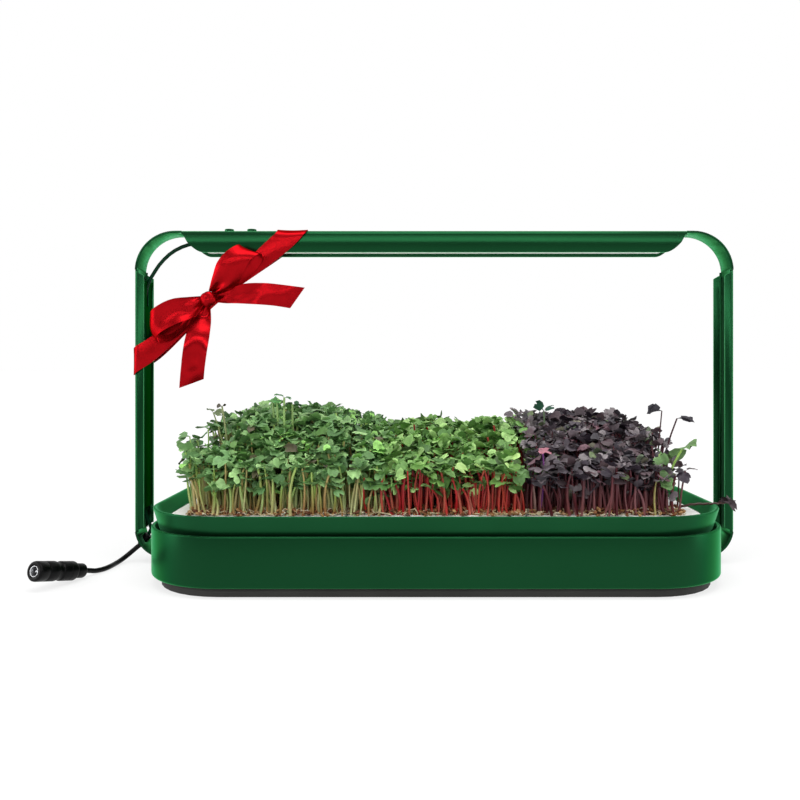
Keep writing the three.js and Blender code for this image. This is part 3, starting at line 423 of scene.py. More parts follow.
def addCopy(node, material, slot, edge, body="frame"):
    finished(refinedCopy(node, 35 if edge else 60, edge), node, material, None, body)


def smoothPath(points, steps):  # points on a smooth curve through points, as the solids' tubes run
    points = [np.array(point, dtype=float) for point in points]
    points = [2 * points[0] - points[1]] + points + [2 * points[-1] - points[-2]]
    made = []
    for i in range(1, len(points) - 2):
        p0, p1, p2, p3 = points[i - 1:i + 3]
        d0, d1, d2 = (max(np.linalg.norm(b - a), 1e-9) ** 0.5 for a, b in ((p0, p1), (p1, p2), (p2, p3)))
        t1 = ((p1 - p0) / d0 - (p2 - p0) / (d0 + d1) + (p2 - p1) / d1) * d1
        t2 = ((p2 - p1) / d1 - (p3 - p1) / (d1 + d2) + (p3 - p2) / d2) * d1
        for step in range(steps):
            t = step / steps
            made.append(p1 + t1 * t + (-3 * p1 + 3 * p2 - 2 * t1 - t2) * t ** 2
                        + (2 * p1 - 2 * p2 + t1 + t2) * t ** 3)
    made.append(points[-2])
    return np.array(made)


def turnedTo(piece, origin, direction):  # turns a piece made along +Z onto an axis
    turn = Vector((0, 0, 1)).rotation_difference(Vector(direction)).to_matrix().to_4x4()
    piece.data.transform(Matrix.Translation(origin) @ turn)


def spunPiece(node, profile, steps):  # a profile of radius and height in millimetres spun about Z
    mesh = bpy.data.meshes.new(nameOf(node))
    points = [(radius * millimetre, 0, height * millimetre) for radius, height in profile]
    mesh.from_pydata(points, [(i, i + 1) for i in range(len(points) - 1)], [])
    piece = linked(mesh)
    edit(piece)
    bpy.ops.mesh.spin(steps=steps, angle=2 * math.pi, center=(0, 0, 0), axis=(0, 0, 1))
    bpy.ops.mesh.select_all(action="SELECT")
    bpy.ops.mesh.remove_doubles(threshold=0.000004)
    endEdit()
    return piece


# The free power lead and its jack, first of the pieces

leadSettings = Settings(
    diameter=0.0032, exit=(-0.200557, 0.0, 0.010698), steps=9, sides=24,
    route=[(-202.2, 0, 9.4), (-206.3, -1.8, 5.8), (-208.9, -5, 3.5), (-210.5, -10, 2.2),
              (-211.5, -16, 1.7), (-212.1, -23.4, 1.7), (-213.2, -28.8, 1.7), (-214.8, -33.4, 1.9),
              (-216.3, -37.4, 2.4), (-217.8, -41, 3.4), (-218.8, -43.5, 4.1), (-219.8, -45.7, 4.6)],
)
jackSettings = Settings(tilt=math.radians(12), turn=math.radians(66), start=0.0003, steps=48)
jackProfiles = {
    "shell": [(0, 0), (2.4, 0), (3.0, 0.1), (3.7, 0.45), (4.2, 1.0), (4.5, 1.8), (4.5, 7.6), (4.4, 8.0),
              (4.4, 8.5), (5.2, 8.6), (5.7, 9.0), (5.9, 9.6), (5.9, 13.6), (5.78, 13.7), (5.78, 14.0),
              (5.9, 14.1), (5.9, 19.0), (5.75, 19.6), (5.4, 20.0), (5.25, 20.4), (5.25, 22.6),
              (5.5, 23.0), (5.85, 23.4), (6.0, 24.0), (6.0, 30.5), (5.88, 30.7), (5.88, 31.1),
              (6.0, 31.3), (6.0, 36.6), (5.85, 37.4), (5.4, 37.9), (4.9, 38.0), (4.0, 38.0),
              (3.7, 37.8), (3.62, 37.4), (3.62, 29.0), (0, 29.0)],
    "sleeve": [(3.3, 29.4), (3.3, 37.6), (3.2, 37.95), (2.9, 37.95), (2.75, 37.6), (2.75, 29.4), (3.3, 29.4)],
    "insulator": [(0, 29.3), (2.5, 29.3), (2.5, 32.2), (2.3, 32.4), (1.35, 32.4), (1.35, 29.7), (0, 29.7)],
    "pin": [(0, 29.9), (1.0, 29.9), (1.0, 35.2), (0.8, 35.9), (0.5, 36.35), (0.0, 36.5)],
}


def addLeadAndJack():
    route = [Vector(leadSettings.exit)] + [Vector(point) * millimetre for point in leadSettings.route]
    path = smoothPath(route, leadSettings.steps)
    curve = bpy.data.curves.new("powerLead", "CURVE")
    curve.dimensions = "3D"
    spline = curve.splines.new("POLY")
    spline.points.add(len(path) - 1)
    for point, place in zip(spline.points, path):
        point.co = (*place, 1)
    curve.bevel_depth = leadSettings.diameter / 2
    curve.bevel_resolution = leadSettings.sides // 4
    curve.use_fill_caps = True
    lead = linked(curve)
    tilt, turn = jackSettings.tilt, jackSettings.turn
    direction = Vector((-math.cos(tilt) * math.cos(turn), -math.cos(tilt) * math.sin(turn), math.sin(tilt)))
    origin = Vector(path[-1]) + direction * jackSettings.start
    for part, material, slot in (("shell", cordJacket, "black_plastic"), ("sleeve", steel, "steel"),
                                 ("insulator", blackPlastic, "black_plastic"), ("pin", steel, "steel")):
        piece = spunPiece("jack_" + part, jackProfiles[part], jackSettings.steps)
        turnedTo(piece, origin, direction)
        finished(piece, "jack_" + part, material, 38)
    finished(lead, "power_lead", cordJacket)


addLeadAndJack()
print("power lead and jack made")

# The loop

frameSettings = Settings(
    edge=0.0003, smoothAngle=32, rollFrom=0.2212, rollTo=0.2106, rollSteps=8,
    rollOut=0.0014, rollReach=0.004, rollHalf=0.18,
)


def rollTopFlaps(piece):  # the top bar's flaps leave the bend in a soft roll
    settings = frameSettings
    high, low, reach = settings.rollFrom, settings.rollTo, settings.rollReach
    bpy.ops.object.mode_set(mode="EDIT")
    for i in range(1, settings.rollSteps + 1):
        height = high + (low - high) * i / settings.rollSteps
        bpy.ops.mesh.select_all(action="SELECT")
        bpy.ops.mesh.bisect(plane_co=(0, 0, height), plane_no=(0, 0, 1))
    bpy.ops.object.mode_set(mode="OBJECT")
    half = abs(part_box("frame_loop")[0][1])
    for vertex in piece.data.vertices:
        spot = vertex.co
        onBar = low - reach < spot.z < high and abs(spot.x) < settings.rollHalf
        if onBar and abs(spot.y) > half - reach:
            run = min(1.0, (high - spot.z) / (high - low))
            spot.y += math.copysign(settings.rollOut * (1 - (1 - run) ** 2), spot.y)


frameLoop = refinedCopy("frame_loop", frameSettings.smoothAngle, frameSettings.edge)
rollTopFlaps(frameLoop)
finished(frameLoop, "frame_loop", greenPaint, frameSettings.smoothAngle)
print("frame made")

# Screws, buttons, strain relief, and softened copies of the lamp's and loop's plain pieces

screwSettings = Settings(  # foot and head are radius and height from the box's low and high face
    foot=[(0, 0), (1.15, 0)], steps=28, turn=0.4, slot=(0.0028, 0.0006, 0.0012),
    head=[(1.15, -1.4), (2.25, -1.4), (2.28, -0.9), (1.9, -0.45), (1.2, -0.2), (0, -0.15)],
    slotDrop=0.0002,
)
buttonSettings = Settings(
    foot=[(0, 0), (4.1, 0), (4.2, 0.1), (4.2, 0.8), (4.1, 0.9), (3.15, 0.9)], steps=40,
    head=[(3.15, -0.5), (3.05, -0.18), (2.8, -0.03), (2.5, 0), (1.9, -0.12), (1.1, -0.24), (0, -0.28)],
)
reliefSettings = Settings(
    corner=math.radians(210), radius=0.01925, middle=(-0.1808, 0.024), slope=math.radians(50),
    profile=[(0, -4.5), (2.35, -4.5), (2.7, -4.1), (2.7, -1.6), (2.35, -1.4), (2.35, -1.0), (2.65, -0.8),
                (2.6, 0.2), (2.3, 0.4), (2.3, 0.8), (2.5, 1.0), (2.48, 1.9), (2.2, 2.1), (2.2, 2.5),
                (2.42, 2.7), (2.1, 4.0), (1.9, 4.4), (0, 4.5)],
    steps=40,
)
copySettings = [  # node, material, slot, edge
    ("frame_pad_left", footRubber, "foot_rubber", 0.0004),
    ("frame_pad_right", footRubber, "foot_rubber", 0.0004),
    ("lamp_housing", housingMetal, "housing_metal", 0.00015),
    ("light_diffuser", frosted, "frosted", 0.0002),
    ("lamp_end_cap_left", blackPlastic, "black_plastic", 0.0003),
    ("lamp_end_cap_right", blackPlastic, "black_plastic", 0.0003),
    ("lead_cover", coverPaint, "cover_plastic", 0.0002),
    ("lamp_lead", leadJacket, "lead_jacket", 0.0),
]


def spunInBox(node, settings):
    low, high, middle = boxOf(node)
    profile = [(radius, low.z / millimetre + rise) for radius, rise in settings.foot]
    profile += [(radius, high.z / millimetre + rise) for radius, rise in settings.head]
    piece = spunPiece(node, profile, settings.steps)
    piece.data.transform(Matrix.Translation((middle.x, middle.y, 0)))
    return piece


def addScrew(number):
    node = "lamp_screw_%d" % number
    _, high, middle = boxOf(node)
    slotPlace = (middle.x, middle.y, high.z - screwSettings.slotDrop)
    piece = spunInBox(node, screwSettings)
    for turn in (0, math.pi / 2):
        bpy.ops.mesh.primitive_cube_add(size=1, location=slotPlace)
        cutter = bpy.context.object
        cutter.scale = screwSettings.slot
        cutter.rotation_euler = (0, 0, turn + screwSettings.turn * number)
        bpy.ops.object.transform_apply(location=False, rotation=True, scale=True)
        applied(piece, "BOOLEAN", operation="DIFFERENCE", object=cutter, solver="EXACT")
        bpy.data.objects.remove(cutter)
    finished(piece, node, steel, 35)


def addRelief():
    settings = reliefSettings
    direction = Vector((-math.cos(settings.slope), 0, -math.sin(settings.slope)))
    origin = Vector((settings.middle[0] + settings.radius * math.cos(settings.corner), 0,
                     settings.middle[1] + settings.radius * math.sin(settings.corner)))
    piece = spunPiece("strain_relief", settings.profile, settings.steps)
    turnedTo(piece, origin, direction)
    finished(piece, "strain_relief", cordJacket, 38)


for screwNumber in (1, 2, 3, 4):
    addScrew(screwNumber)
for buttonNode in ("power_button", "timer_button"):
    button = spunInBox(buttonNode, buttonSettings)
    finished(button, buttonNode, greenPaint, 40, buttonNode)
addRelief()
for copied in copySettings:
    addCopy(*copied)
print("small fixed pieces made")


# Bowl and tray, each a block with rounded corners that is hollowed out

bowlSettings = Settings(corner=0.05, cornerSteps=20, wall=0.0022, floor=0.0022,
                        lowEdge=0.002, innerEdge=0.005, rimEdge=0.0009)
traySettings = Settings(
    corner=0.0491, cornerSteps=20, wall=0.0024, floorTop=0.0353, floor=0.002,
    shoulder=0.0357, flare=0.0028, lean=0.0007, lowEdge=0.00105, innerEdge=0.003,
    rimEdge=0.0011, legTop=0.005, legFoot=0.0034, legEdge=0.0008, legInset=0.001,
    legShares=[(-0.86, -0.7), (0, -0.78), (0.86, -0.7), (-0.86, 0.7), (0, 0.78), (0.86, 0.7)],
)
levelGap = 0.00002  # points nearer than this to a height are at it


def raiseFace(height):
    bpy.ops.mesh.extrude_region_move(TRANSFORM_OT_translate={"value": (0, 0, height)})


def hollowBlock(name, low, high, settings, rises, drop):  # a slab raised in steps, then sunk inside its wall
    size, middle = high - low, (low + high) / 2
    bpy.ops.mesh.primitive_plane_add(size=1, location=(middle.x, middle.y, low.z))
    piece = bpy.context.object
    piece.name = name
    piece.scale = (size.x, size.y, 1)
    bpy.ops.object.transform_apply(location=True, rotation=True, scale=True)
    edit(piece)
    bpy.ops.mesh.bevel(affect="VERTICES", offset_type="OFFSET", offset=settings.corner,
                       segments=settings.cornerSteps)
    bpy.ops.mesh.select_mode(type="FACE")
    bpy.ops.mesh.select_all(action="SELECT")
    for rise in rises:
        raiseFace(rise)
    bpy.ops.mesh.inset(thickness=settings.wall, depth=0)
    raiseFace(-drop)
    return piece


def bevelLevel(piece, height, offset, segments):  # bevels the edges that lie at a height
    mesh = bmesh.from_edit_mesh(piece.data)
    bpy.ops.mesh.select_mode(type="EDGE")
    bpy.ops.mesh.select_all(action="DESELECT")
    for part in mesh.edges:
        if all(abs(vertex.co.z - height) < levelGap for vertex in part.verts):
            part.select = True
    mesh.select_flush(True)
    bmesh.update_edit_mesh(piece.data)
    bpy.ops.mesh.bevel(offset_type="OFFSET", offset=offset, segments=segments, affect="EDGES",
                       clamp_overlap=True)


def moveRing(piece, height, shift, low, high):  # moves the points at a height in or out
    middle, half = (low + high) / 2, (high - low) / 2
    bpy.ops.mesh.select_mode(type="VERT")
    mesh = bmesh.from_edit_mesh(piece.data)
    bpy.ops.mesh.select_all(action="DESELECT")
    for vertex in mesh.verts:
        vertex.select = abs(vertex.co.z - height) < levelGap
    bmesh.update_edit_mesh(piece.data)
    bpy.ops.transform.resize(value=(1 + shift / half.x, 1 + shift / half.y, 1),
                             center_override=(middle.x, middle.y, height))


def addBowl():
    settings = bowlSettings
    low, high, _ = boxOf("bowl")
    rise = high.z - low.z
    piece = hollowBlock("bowlShell", low, high, settings, [rise], rise - settings.floor)
    bevelLevel(piece, low.z, settings.lowEdge, 6)
    bevelLevel(piece, low.z + settings.floor, settings.innerEdge, 6)
    bevelLevel(piece, high.z, settings.rimEdge, 4)
    endEdit()
    finished(piece, "bowl", bowlGloss, 40, "bowl")


def addTrayLeg(x, y, top, foot):
    settings = traySettings
    bpy.ops.mesh.primitive_cone_add(vertices=24, radius1=settings.legFoot, radius2=settings.legTop,
                                    depth=top - foot, location=(x, y, (top + foot) / 2))
    leg = bpy.context.object
    bpy.ops.object.transform_apply(location=True, rotation=True, scale=True)
    edit(leg)
    bevelLevel(leg, foot, settings.legEdge, 3)
    bpy.ops.object.mode_set(mode="OBJECT")
    return leg


def addTray():
    settings = traySettings
    low, high, _ = boxOf("tray")
    floorTop, shoulder, flare = settings.floorTop, settings.shoulder, settings.flare
    base = floorTop - settings.floor
    piece = hollowBlock("trayShell", Vector((low.x, low.y, base)), high, settings,
                        [shoulder - base, high.z - shoulder], high.z - floorTop)
    moveRing(piece, floorTop, -flare - settings.lean, low, high)
    moveRing(piece, shoulder, -flare, low, high)
    moveRing(piece, base, -flare - settings.lean, low, high)
    bevelLevel(piece, base, settings.lowEdge, 3)
    bevelLevel(piece, floorTop, settings.innerEdge, 5)
    bevelLevel(piece, high.z, settings.rimEdge, 5)
    endEdit()
    legs = [addTrayLeg(high.x * shareX, high.y * shareY, base + settings.legInset, low.z)
            for shareX, shareY in settings.legShares]
    activate(piece)
    for leg in legs:
        leg.select_set(True)
    bpy.ops.object.join()
    finished(piece, "tray", trayPlastic, 40, "tray")


addBowl()
addTray()
for side in ("front", "back"):
    addCopy("bowl_foot_" + side, footRubber, "foot_rubber", 0.0004, "bowl")
print("bowl and tray made")

# The ribbon: strips between two edge lines, in ribbon widths right, forward and down of the corner

ribbonSettings = Settings(
    width=0.018, cornerX=-0.2008, top=0.2234, across=12, thickness=0.0004,
    base=(0.34, 0.0040, 0.0070, 1), edge=(1.0, 0.14, 0.16, 1), metallic=0.94,
    roughness=(0.24, 0.34), threads=55.0, anisotropy=0.55,
    pleatReach=0.16, pleatTurn=3.0 * math.pi, pleatStart=0.6, waveReach=0.15,
)
ribbonStrips = {  # pleat depth at start and end; wave height, count and start; the two edge lines
    "ribbon_band_front": {
        "steps": 10, "held": "stretched", "wave": (0.0008, 2.2, 0.4),
        "lines": (
            [(5.1, -0.66, -0.024), (5.32, 0.5, -0.024), (5.28, 0.66, 0.11), (5, 0.705, 0.38),
             (4.3, 0.73, 1.05), (2.95, 0.7, 2.28), (2.6, 0.7, 2.5), (1.6, 0.68, 3.3), (0.48, 0.66, 4.07),
             (0.1, 0.645, 4.3), (-0.035, 0.5, 4.38), (-0.035, -0.63, 4.14)],
            [(6.22, -0.66, -0.024), (6.44, 0.5, -0.024), (6.36, 0.66, 0.11), (5.95, 0.715, 0.58),
             (5.12, 0.73, 1.26), (3.2, 0.7, 2.6), (2.85, 0.7, 2.85), (1.85, 0.68, 3.85), (0.75, 0.66, 4.85),
             (0.1, 0.645, 5.28), (-0.035, 0.5, 5.38), (-0.035, -0.63, 5.14)]),
    },
    "ribbon_band_back": {
        "steps": 12, "held": "stretched",
        "lines": (
            [(5.1, -0.685, 0.02), (4.7, -0.735, 0.4), (2.5, -0.69, 2.2), (0.4, -0.69, 3.86),
             (0.02, -0.67, 4.12)],
            [(6.22, -0.685, 0.02), (5.7, -0.735, 0.5), (2.85, -0.69, 2.55), (0.6, -0.69, 4.72),
             (0.02, -0.67, 5.12)]),
    },
    "ribbon_loop_upper": {
        "steps": 8, "held": "gathered", "pleats": (0.0014, 0.0006), "wave": (0.0028, 1.0, 0.2),
        "lines": (
            [(2.87, 0.845, 2.25), (3.06, 1.08, 1.73), (3.28, 1.28, 1.25), (3.64, 1.28, 0.85), (4, 1.08, 0.61),
             (4.06, 0.86, 0.67), (3.68, 0.78, 1.18), (3.27, 0.76, 1.84), (2.97, 0.76, 2.25)],
            [(3.11, 0.845, 2.4), (3.93, 1.08, 2.06), (4.26, 1.28, 1.54), (4.52, 1.28, 1.14),
             (4.81, 1.08, 0.94), (4.82, 0.86, 1.12), (4.53, 0.78, 1.55), (3.97, 0.76, 2.03),
             (3.19, 0.76, 2.47)]),
    },
    "ribbon_loop_left": {
        "steps": 8, "held": "gathered", "pleats": (0.0014, 0.0006), "wave": (0.0028, 1.0, 0.2),
        "lines": (
            [(2.54, 0.845, 2.46), (2.13, 1.08, 2.52), (1.65, 1.28, 2.6), (1.18, 1.28, 2.79),
             (0.79, 1.08, 3.05), (0.75, 0.86, 3.25), (1.17, 0.78, 3.17), (1.79, 0.76, 2.95),
             (2.49, 0.76, 2.62)],
            [(2.67, 0.845, 2.77), (2.32, 1.08, 3.26), (1.9, 1.28, 3.47), (1.43, 1.28, 3.68),
             (1.01, 1.08, 3.94), (0.95, 0.86, 4.15), (1.42, 0.78, 4.08), (2.01, 0.76, 3.58),
             (2.6, 0.76, 2.84)]),
    },
    "ribbon_tail_right": {
        "steps": 10, "held": "hung", "pleats": (0.0012, 0.0), "wave": (0.0016, 1.6, 0.3),
        "lines": (
            [(3.16, 0.803, 2.42), (3.62, 0.9, 2.22), (4.19, 1.15, 2.05), (4.92, 1.2, 2.02),
             (5.63, 0.98, 2.07), (6.39, 0.92, 2.16)],
            [(3.16, 0.803, 2.69), (3.54, 0.86, 2.73), (3.97, 1.06, 2.75), (4.65, 1.24, 2.8),
             (5.23, 1.06, 2.83), (5.85, 0.9, 2.92)]),
    },
    "ribbon_tail_down": {
        "steps": 10, "held": "hung", "pleats": (0.0012, 0.0), "wave": (0.0016, 1.7, 0.6),
        "lines": (
            [(2.61, 0.803, 2.86), (2.22, 0.88, 3.29), (2.08, 1.12, 3.92), (2, 1.26, 4.51), (1.89, 1.12, 5.17),
             (1.78, 0.93, 5.85)],
            [(2.9, 0.803, 2.88), (2.94, 0.9, 3.4), (2.94, 1.14, 3.99), (2.88, 1.26, 4.51), (2.77, 1.1, 5.02),
             (2.68, 0.93, 5.52)]),
    },
}
knotSettings = Settings(place=(2.87, 1.04, 2.60), size=(0.265, 0.18, 0.275), pleat=0.10, pleats=5,
                        pleatStart=1.4, squareness=0.10, turn=math.radians(-28))


def makeSatin():
    settings = ribbonSettings
    finish = Finish("redSatin", settings.base, 0.26, metallic=settings.metallic, specular=0.3)
    threads = finish.node("TexWave", {"Vector": finish.uv("weave"), "Scale": settings.threads,
                                      "Distortion": 0.6}, bands_direction="Y").outputs["Fac"]
    along = finish.node("Tangent", {}, direction_type="UV_MAP", uv_map="weave").outputs["Tangent"]
    finish.shade({"Base Color": finish.tones(finish.noise(120.0, 3.0), 0.25, 0.75, 0.86, 1.12),
                  "Roughness": finish.between(threads, *settings.roughness), "Tangent": along,
                  "Specular Tint": settings.edge, "Anisotropic": settings.anisotropy})
    finish.bump(threads, 0.10, 0.00012)
    return finish.material


def ribbonPlace(share):
    right, forward, down = share
    width = ribbonSettings.width
    return (ribbonSettings.cornerX + right * width, -forward * width, ribbonSettings.top - down * width)


def addStrip(node):
    settings, strip = ribbonSettings, ribbonStrips[node]
    first, second = (smoothPath([ribbonPlace(share) for share in line], strip["steps"])
                     for line in strip["lines"])
    pleatStart, pleatEnd = strip.get("pleats", (0.0, 0.0))
    height, waves, phase = strip.get("wave", (0.0, 1.0, 0.0))
    rows, columns = len(first), settings.across + 1
    across = second - first
    normal = np.cross(across, np.gradient(first, axis=0) + np.gradient(second, axis=0))
    normal /= np.linalg.norm(normal, axis=1)[:, None]
    points, places = [], []
    for i in range(rows):
        t = i / (rows - 1)
        nearStart, nearEnd = (math.exp(-(run / settings.pleatReach) ** 2) for run in (t, 1 - t))
        pleat = pleatStart * nearStart + pleatEnd * nearEnd
        wave = height * min(1.0, t / settings.waveReach, (1 - t) / settings.waveReach)
        for j in range(columns):
            u = j / (columns - 1)
            lift = pleat * math.sin(settings.pleatTurn * u + settings.pleatStart)
            lift += wave * math.sin(math.pi * u) * math.sin(2 * math.pi * waves * t + phase)
            points.append(tuple(first[i] + across[i] * u + normal[i] * lift))
            places.append((u, t * 3.0))
    faces = [(i * columns + j, i * columns + j + 1, (i + 1) * columns + j + 1, (i + 1) * columns + j)
             for i in range(rows - 1) for j in range(columns - 1)]
    mesh = bpy.data.meshes.new(nameOf(node))
    mesh.from_pydata(points, [], faces)
    layer = mesh.uv_layers.new(name="weave")
    for loop in mesh.loops:
        layer.data[loop.index].uv = places[loop.vertex_index]
    piece = linked(mesh)
    applied(piece, "SOLIDIFY", thickness=settings.thickness, offset=0.0)
    finished(piece, node, satin, 50)


def addKnot():
    settings = knotSettings
    bpy.ops.mesh.primitive_uv_sphere_add(segments=48, ring_count=24, radius=1)
    piece = bpy.context.object
    piece.name = "ribbonKnot"
    sizeX, sizeY, sizeZ = (size * ribbonSettings.width for size in settings.size)
    for vertex in piece.data.vertices:
        x, y, z = vertex.co
        angle = math.atan2(z, x)
        pleat = settings.pleat * math.cos(settings.pleats * z + settings.pleatStart)
        square = 1 + settings.squareness * abs(math.sin(2 * angle))
        vertex.co = (x * sizeX * square, y * sizeY * (1 + pleat * (1 - 0.5 * abs(x))), z * sizeZ * square)
    piece.data.uv_layers[0].name = "weave"
    turn = Matrix.Rotation(settings.turn, 4, "Y")
    piece.data.transform(Matrix.Translation(Vector(ribbonPlace(settings.place))) @ turn)
    finished(piece, "ribbon_knot", satin, 60)


satin = makeSatin()
for stripNode in ribbonStrips:
    addStrip(stripNode)
addKnot()
print("ribbon made")

# Seed pads of matted fibre

padSettings = Settings(
    voxel=0.0013, fuzz=0.00028, colour=colour(255, 255, 250), shade=(0.94, 0.94, 0.90, 1),
    coarse=900, fine=2400, side=1500, fill=0.9,
)


def makeFibre():  # two layers of crossing strands
    finish = Finish("padFibre", padSettings.colour, 0.85, specular=0.15)
    strands = finish.noise(420.0, 6.0, (1, 0.25, 1), 0.7)
    others = finish.noise(380.0, 6.0, (0.3, 1, 1), 0.7)
    first = finish.tones(strands, 0.3, 0.7, 0.93, 1.08)
    second = finish.ramp(others, 0.3, 0.7, padSettings.shade, white)
    finish.shade({"Base Color": finish.multiply(first, second), "Sheen Weight": 0.3, "Sheen Tint": white,
                  "Sheen Roughness": 0.5})
    finish.bump(strands, 0.6, 0.0006)
    finish.bump(others, 0.6, 0.0006)
    return finish.material


def addPad(crop):
    settings, node = padSettings, "seed_pad_" + crop
    piece = refinedCopy(node, 60)
    applied(piece, "REMESH", mode="VOXEL", voxel_size=settings.voxel, use_smooth_shade=True)
    middle = boxOf(node)[2].z
    spots = [(vertex.co.copy(), vertex.normal.copy()) for vertex in piece.data.vertices]
    for vertex, (spot, normal) in zip(piece.data.vertices, spots):
        rough = noise.noise(spot * settings.coarse) + 0.6 * noise.noise(spot * settings.fine)
        outward = Vector((normal.x, normal.y, 0)) * 0.6 * (noise.noise(spot * settings.side) - 0.4)
        lift = Vector((0, 0, rough if spot.z > middle else 0))
        vertex.co = spot + settings.fuzz * (outward + lift)
    finished(piece, node, padFibre, 60, "crop_" + crop)


padFibre = makeFibre()
for cropName in cropNames:
    addPad(cropName)
print("seed pads made")

# The crops: stems, leaves, seed hulls and roots, each kind one mesh per crop

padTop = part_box("seed_pad_middle")[1][2]
leafShape = [  # along the leaf, half its width, how far its edge lags behind, depth of the tip's notch
    (0.0, 0.05, 0.0, 0.0), (0.24, 0.06, 0.0, 0.0), (0.36, 0.42, 0.10, 0.0),
    (0.60, 0.60, 0.02, 0.0), (0.84, 0.56, -0.02, 0.08), (1.0, 0.34, 0.04, 0.22),
]
leafSettings = Settings(
    length=(0.0054, 0.0086), thickness=0.0003, width=(0.86, 1.1), bladeFrom=0.22,
    bladeLength=0.75, curl=(-0.7, 0.9), fold=(-0.15, 0.55), droop=(0.05, 0.9),
    # rim lightens the leaf's edge as a painted highlight; rib and under are the leaf's own paler vein and
    # underside
    ripple=0.06, crinkle=0.045, rim=1.28, rib=1.1, blade=0.92, under=1.25,
    spread=(0.0, 0.85), shake=0.3, roll=0.45, alongSide=0.35, tone=(0.82, 1.15),
    closedGap=0.25, closedDroop=0.3,
)
cropLooks = {  # bed and limits are along X, for the stems' feet and for the leaves
    "left": Settings(
        seed=11, bed=(-0.1490, -0.0542), limits=(-0.1585, -0.0542), height=0.0525,
        front=0.0262, slot="sprouts_pale_stem",
        leaf=[(100, 140, 84), (126, 166, 104), (150, 190, 124), (78, 116, 68), (108, 150, 94)],
        oddLeaf=[(104, 98, 78), (150, 206, 110)], oddShare=0.05,
        stemLow=[(222, 204, 146), (176, 118, 76), (212, 222, 160)],
        stemHigh=[(172, 206, 108), (184, 170, 104), (150, 190, 92)],
    ),
    "middle": Settings(
        seed=23, bed=(-0.0532, 0.0532), limits=(-0.0533, 0.0533), height=0.0425,
        front=0.0255, slot="sprouts_red_stem",
        leaf=[(106, 148, 76), (128, 172, 96), (158, 198, 122), (80, 120, 60), (106, 148, 80)],
        oddLeaf=[(80, 106, 62), (186, 220, 140)], oddShare=0.05,
        stemLow=[(208, 62, 52), (186, 30, 38), (206, 110, 88)],
        stemHigh=[(198, 40, 40), (160, 24, 32), (176, 70, 50)],
    ),
    "right": Settings(
        seed=37, bed=(0.0542, 0.1500), limits=(0.0542, 0.1630), height=0.0480,
        front=0.0262, slot="sprouts_dark",
        leaf=[(84, 76, 84), (108, 98, 104), (134, 126, 130), (56, 48, 58), (92, 76, 82), (70, 66, 72)],
        oddLeaf=[(112, 128, 92), (136, 132, 116), (118, 88, 98), (92, 104, 84)], oddShare=0.12,
        stemLow=[(140, 70, 70), (92, 32, 38), (160, 100, 100)],
        stemHigh=[(98, 40, 50), (72, 26, 36), (120, 76, 84)],
    ),
}
bedSettings = Settings(
    columnPitch=0.0035, rowPitch=0.0040, scatter=(0.0011, 0.0012), frontY=-0.0715,
    backY=0.0715, edgeY=0.0730, corner=(0.142, 0.056, 0.0145),  # its centre and its radius
    sparseFrom=0.137, sparseShare=0.55, leafScale=(0.8, 1.12),
    lean=0.0016, leanAside=1.6, leanLeft=-0.135, leanRight=0.142, leanReach=0.012,
    leanEnds=0.006, leanFront=-0.062, leanCut=(0.0006, -0.003), stagger=0.25,
    hulls=760, roots=320,
    paleTo=-0.034, redTo=0.052, redSlope=0.018, mix=(0.004, 0.003),
)
heightSettings = Settings(
    slopeDepth=0.075, unevenness=0.0022, paleFrom=-0.082, paleFall=0.0085,
    shortShare=0.12, shortFront=0.20, shortHeight=(0.55, 0.85),
    waves=[(0.0012, 110, 0, 2.1), (0.0014, 160, 45, 0)],  # height, turns along X and Y, start
    end=0.150, leftFall=(0.004, 0.028), rightFall=(0.008, 0.02), leftRise=(0.012, 0.018),
    riseTo=-0.036, tail=(-0.139, -0.033, -0.001), underTail=0.0195, tailSlope=1.6, least=0.010,
)
stemSettings = Settings(
    low=0.0009, high=0.00062, sides=5, steps=5, wide=(0.62, 1.25), root=0.0002,
    bendAside=0.2, bendUp=0.55, bend=0.0019, nearLimit=0.008,
)
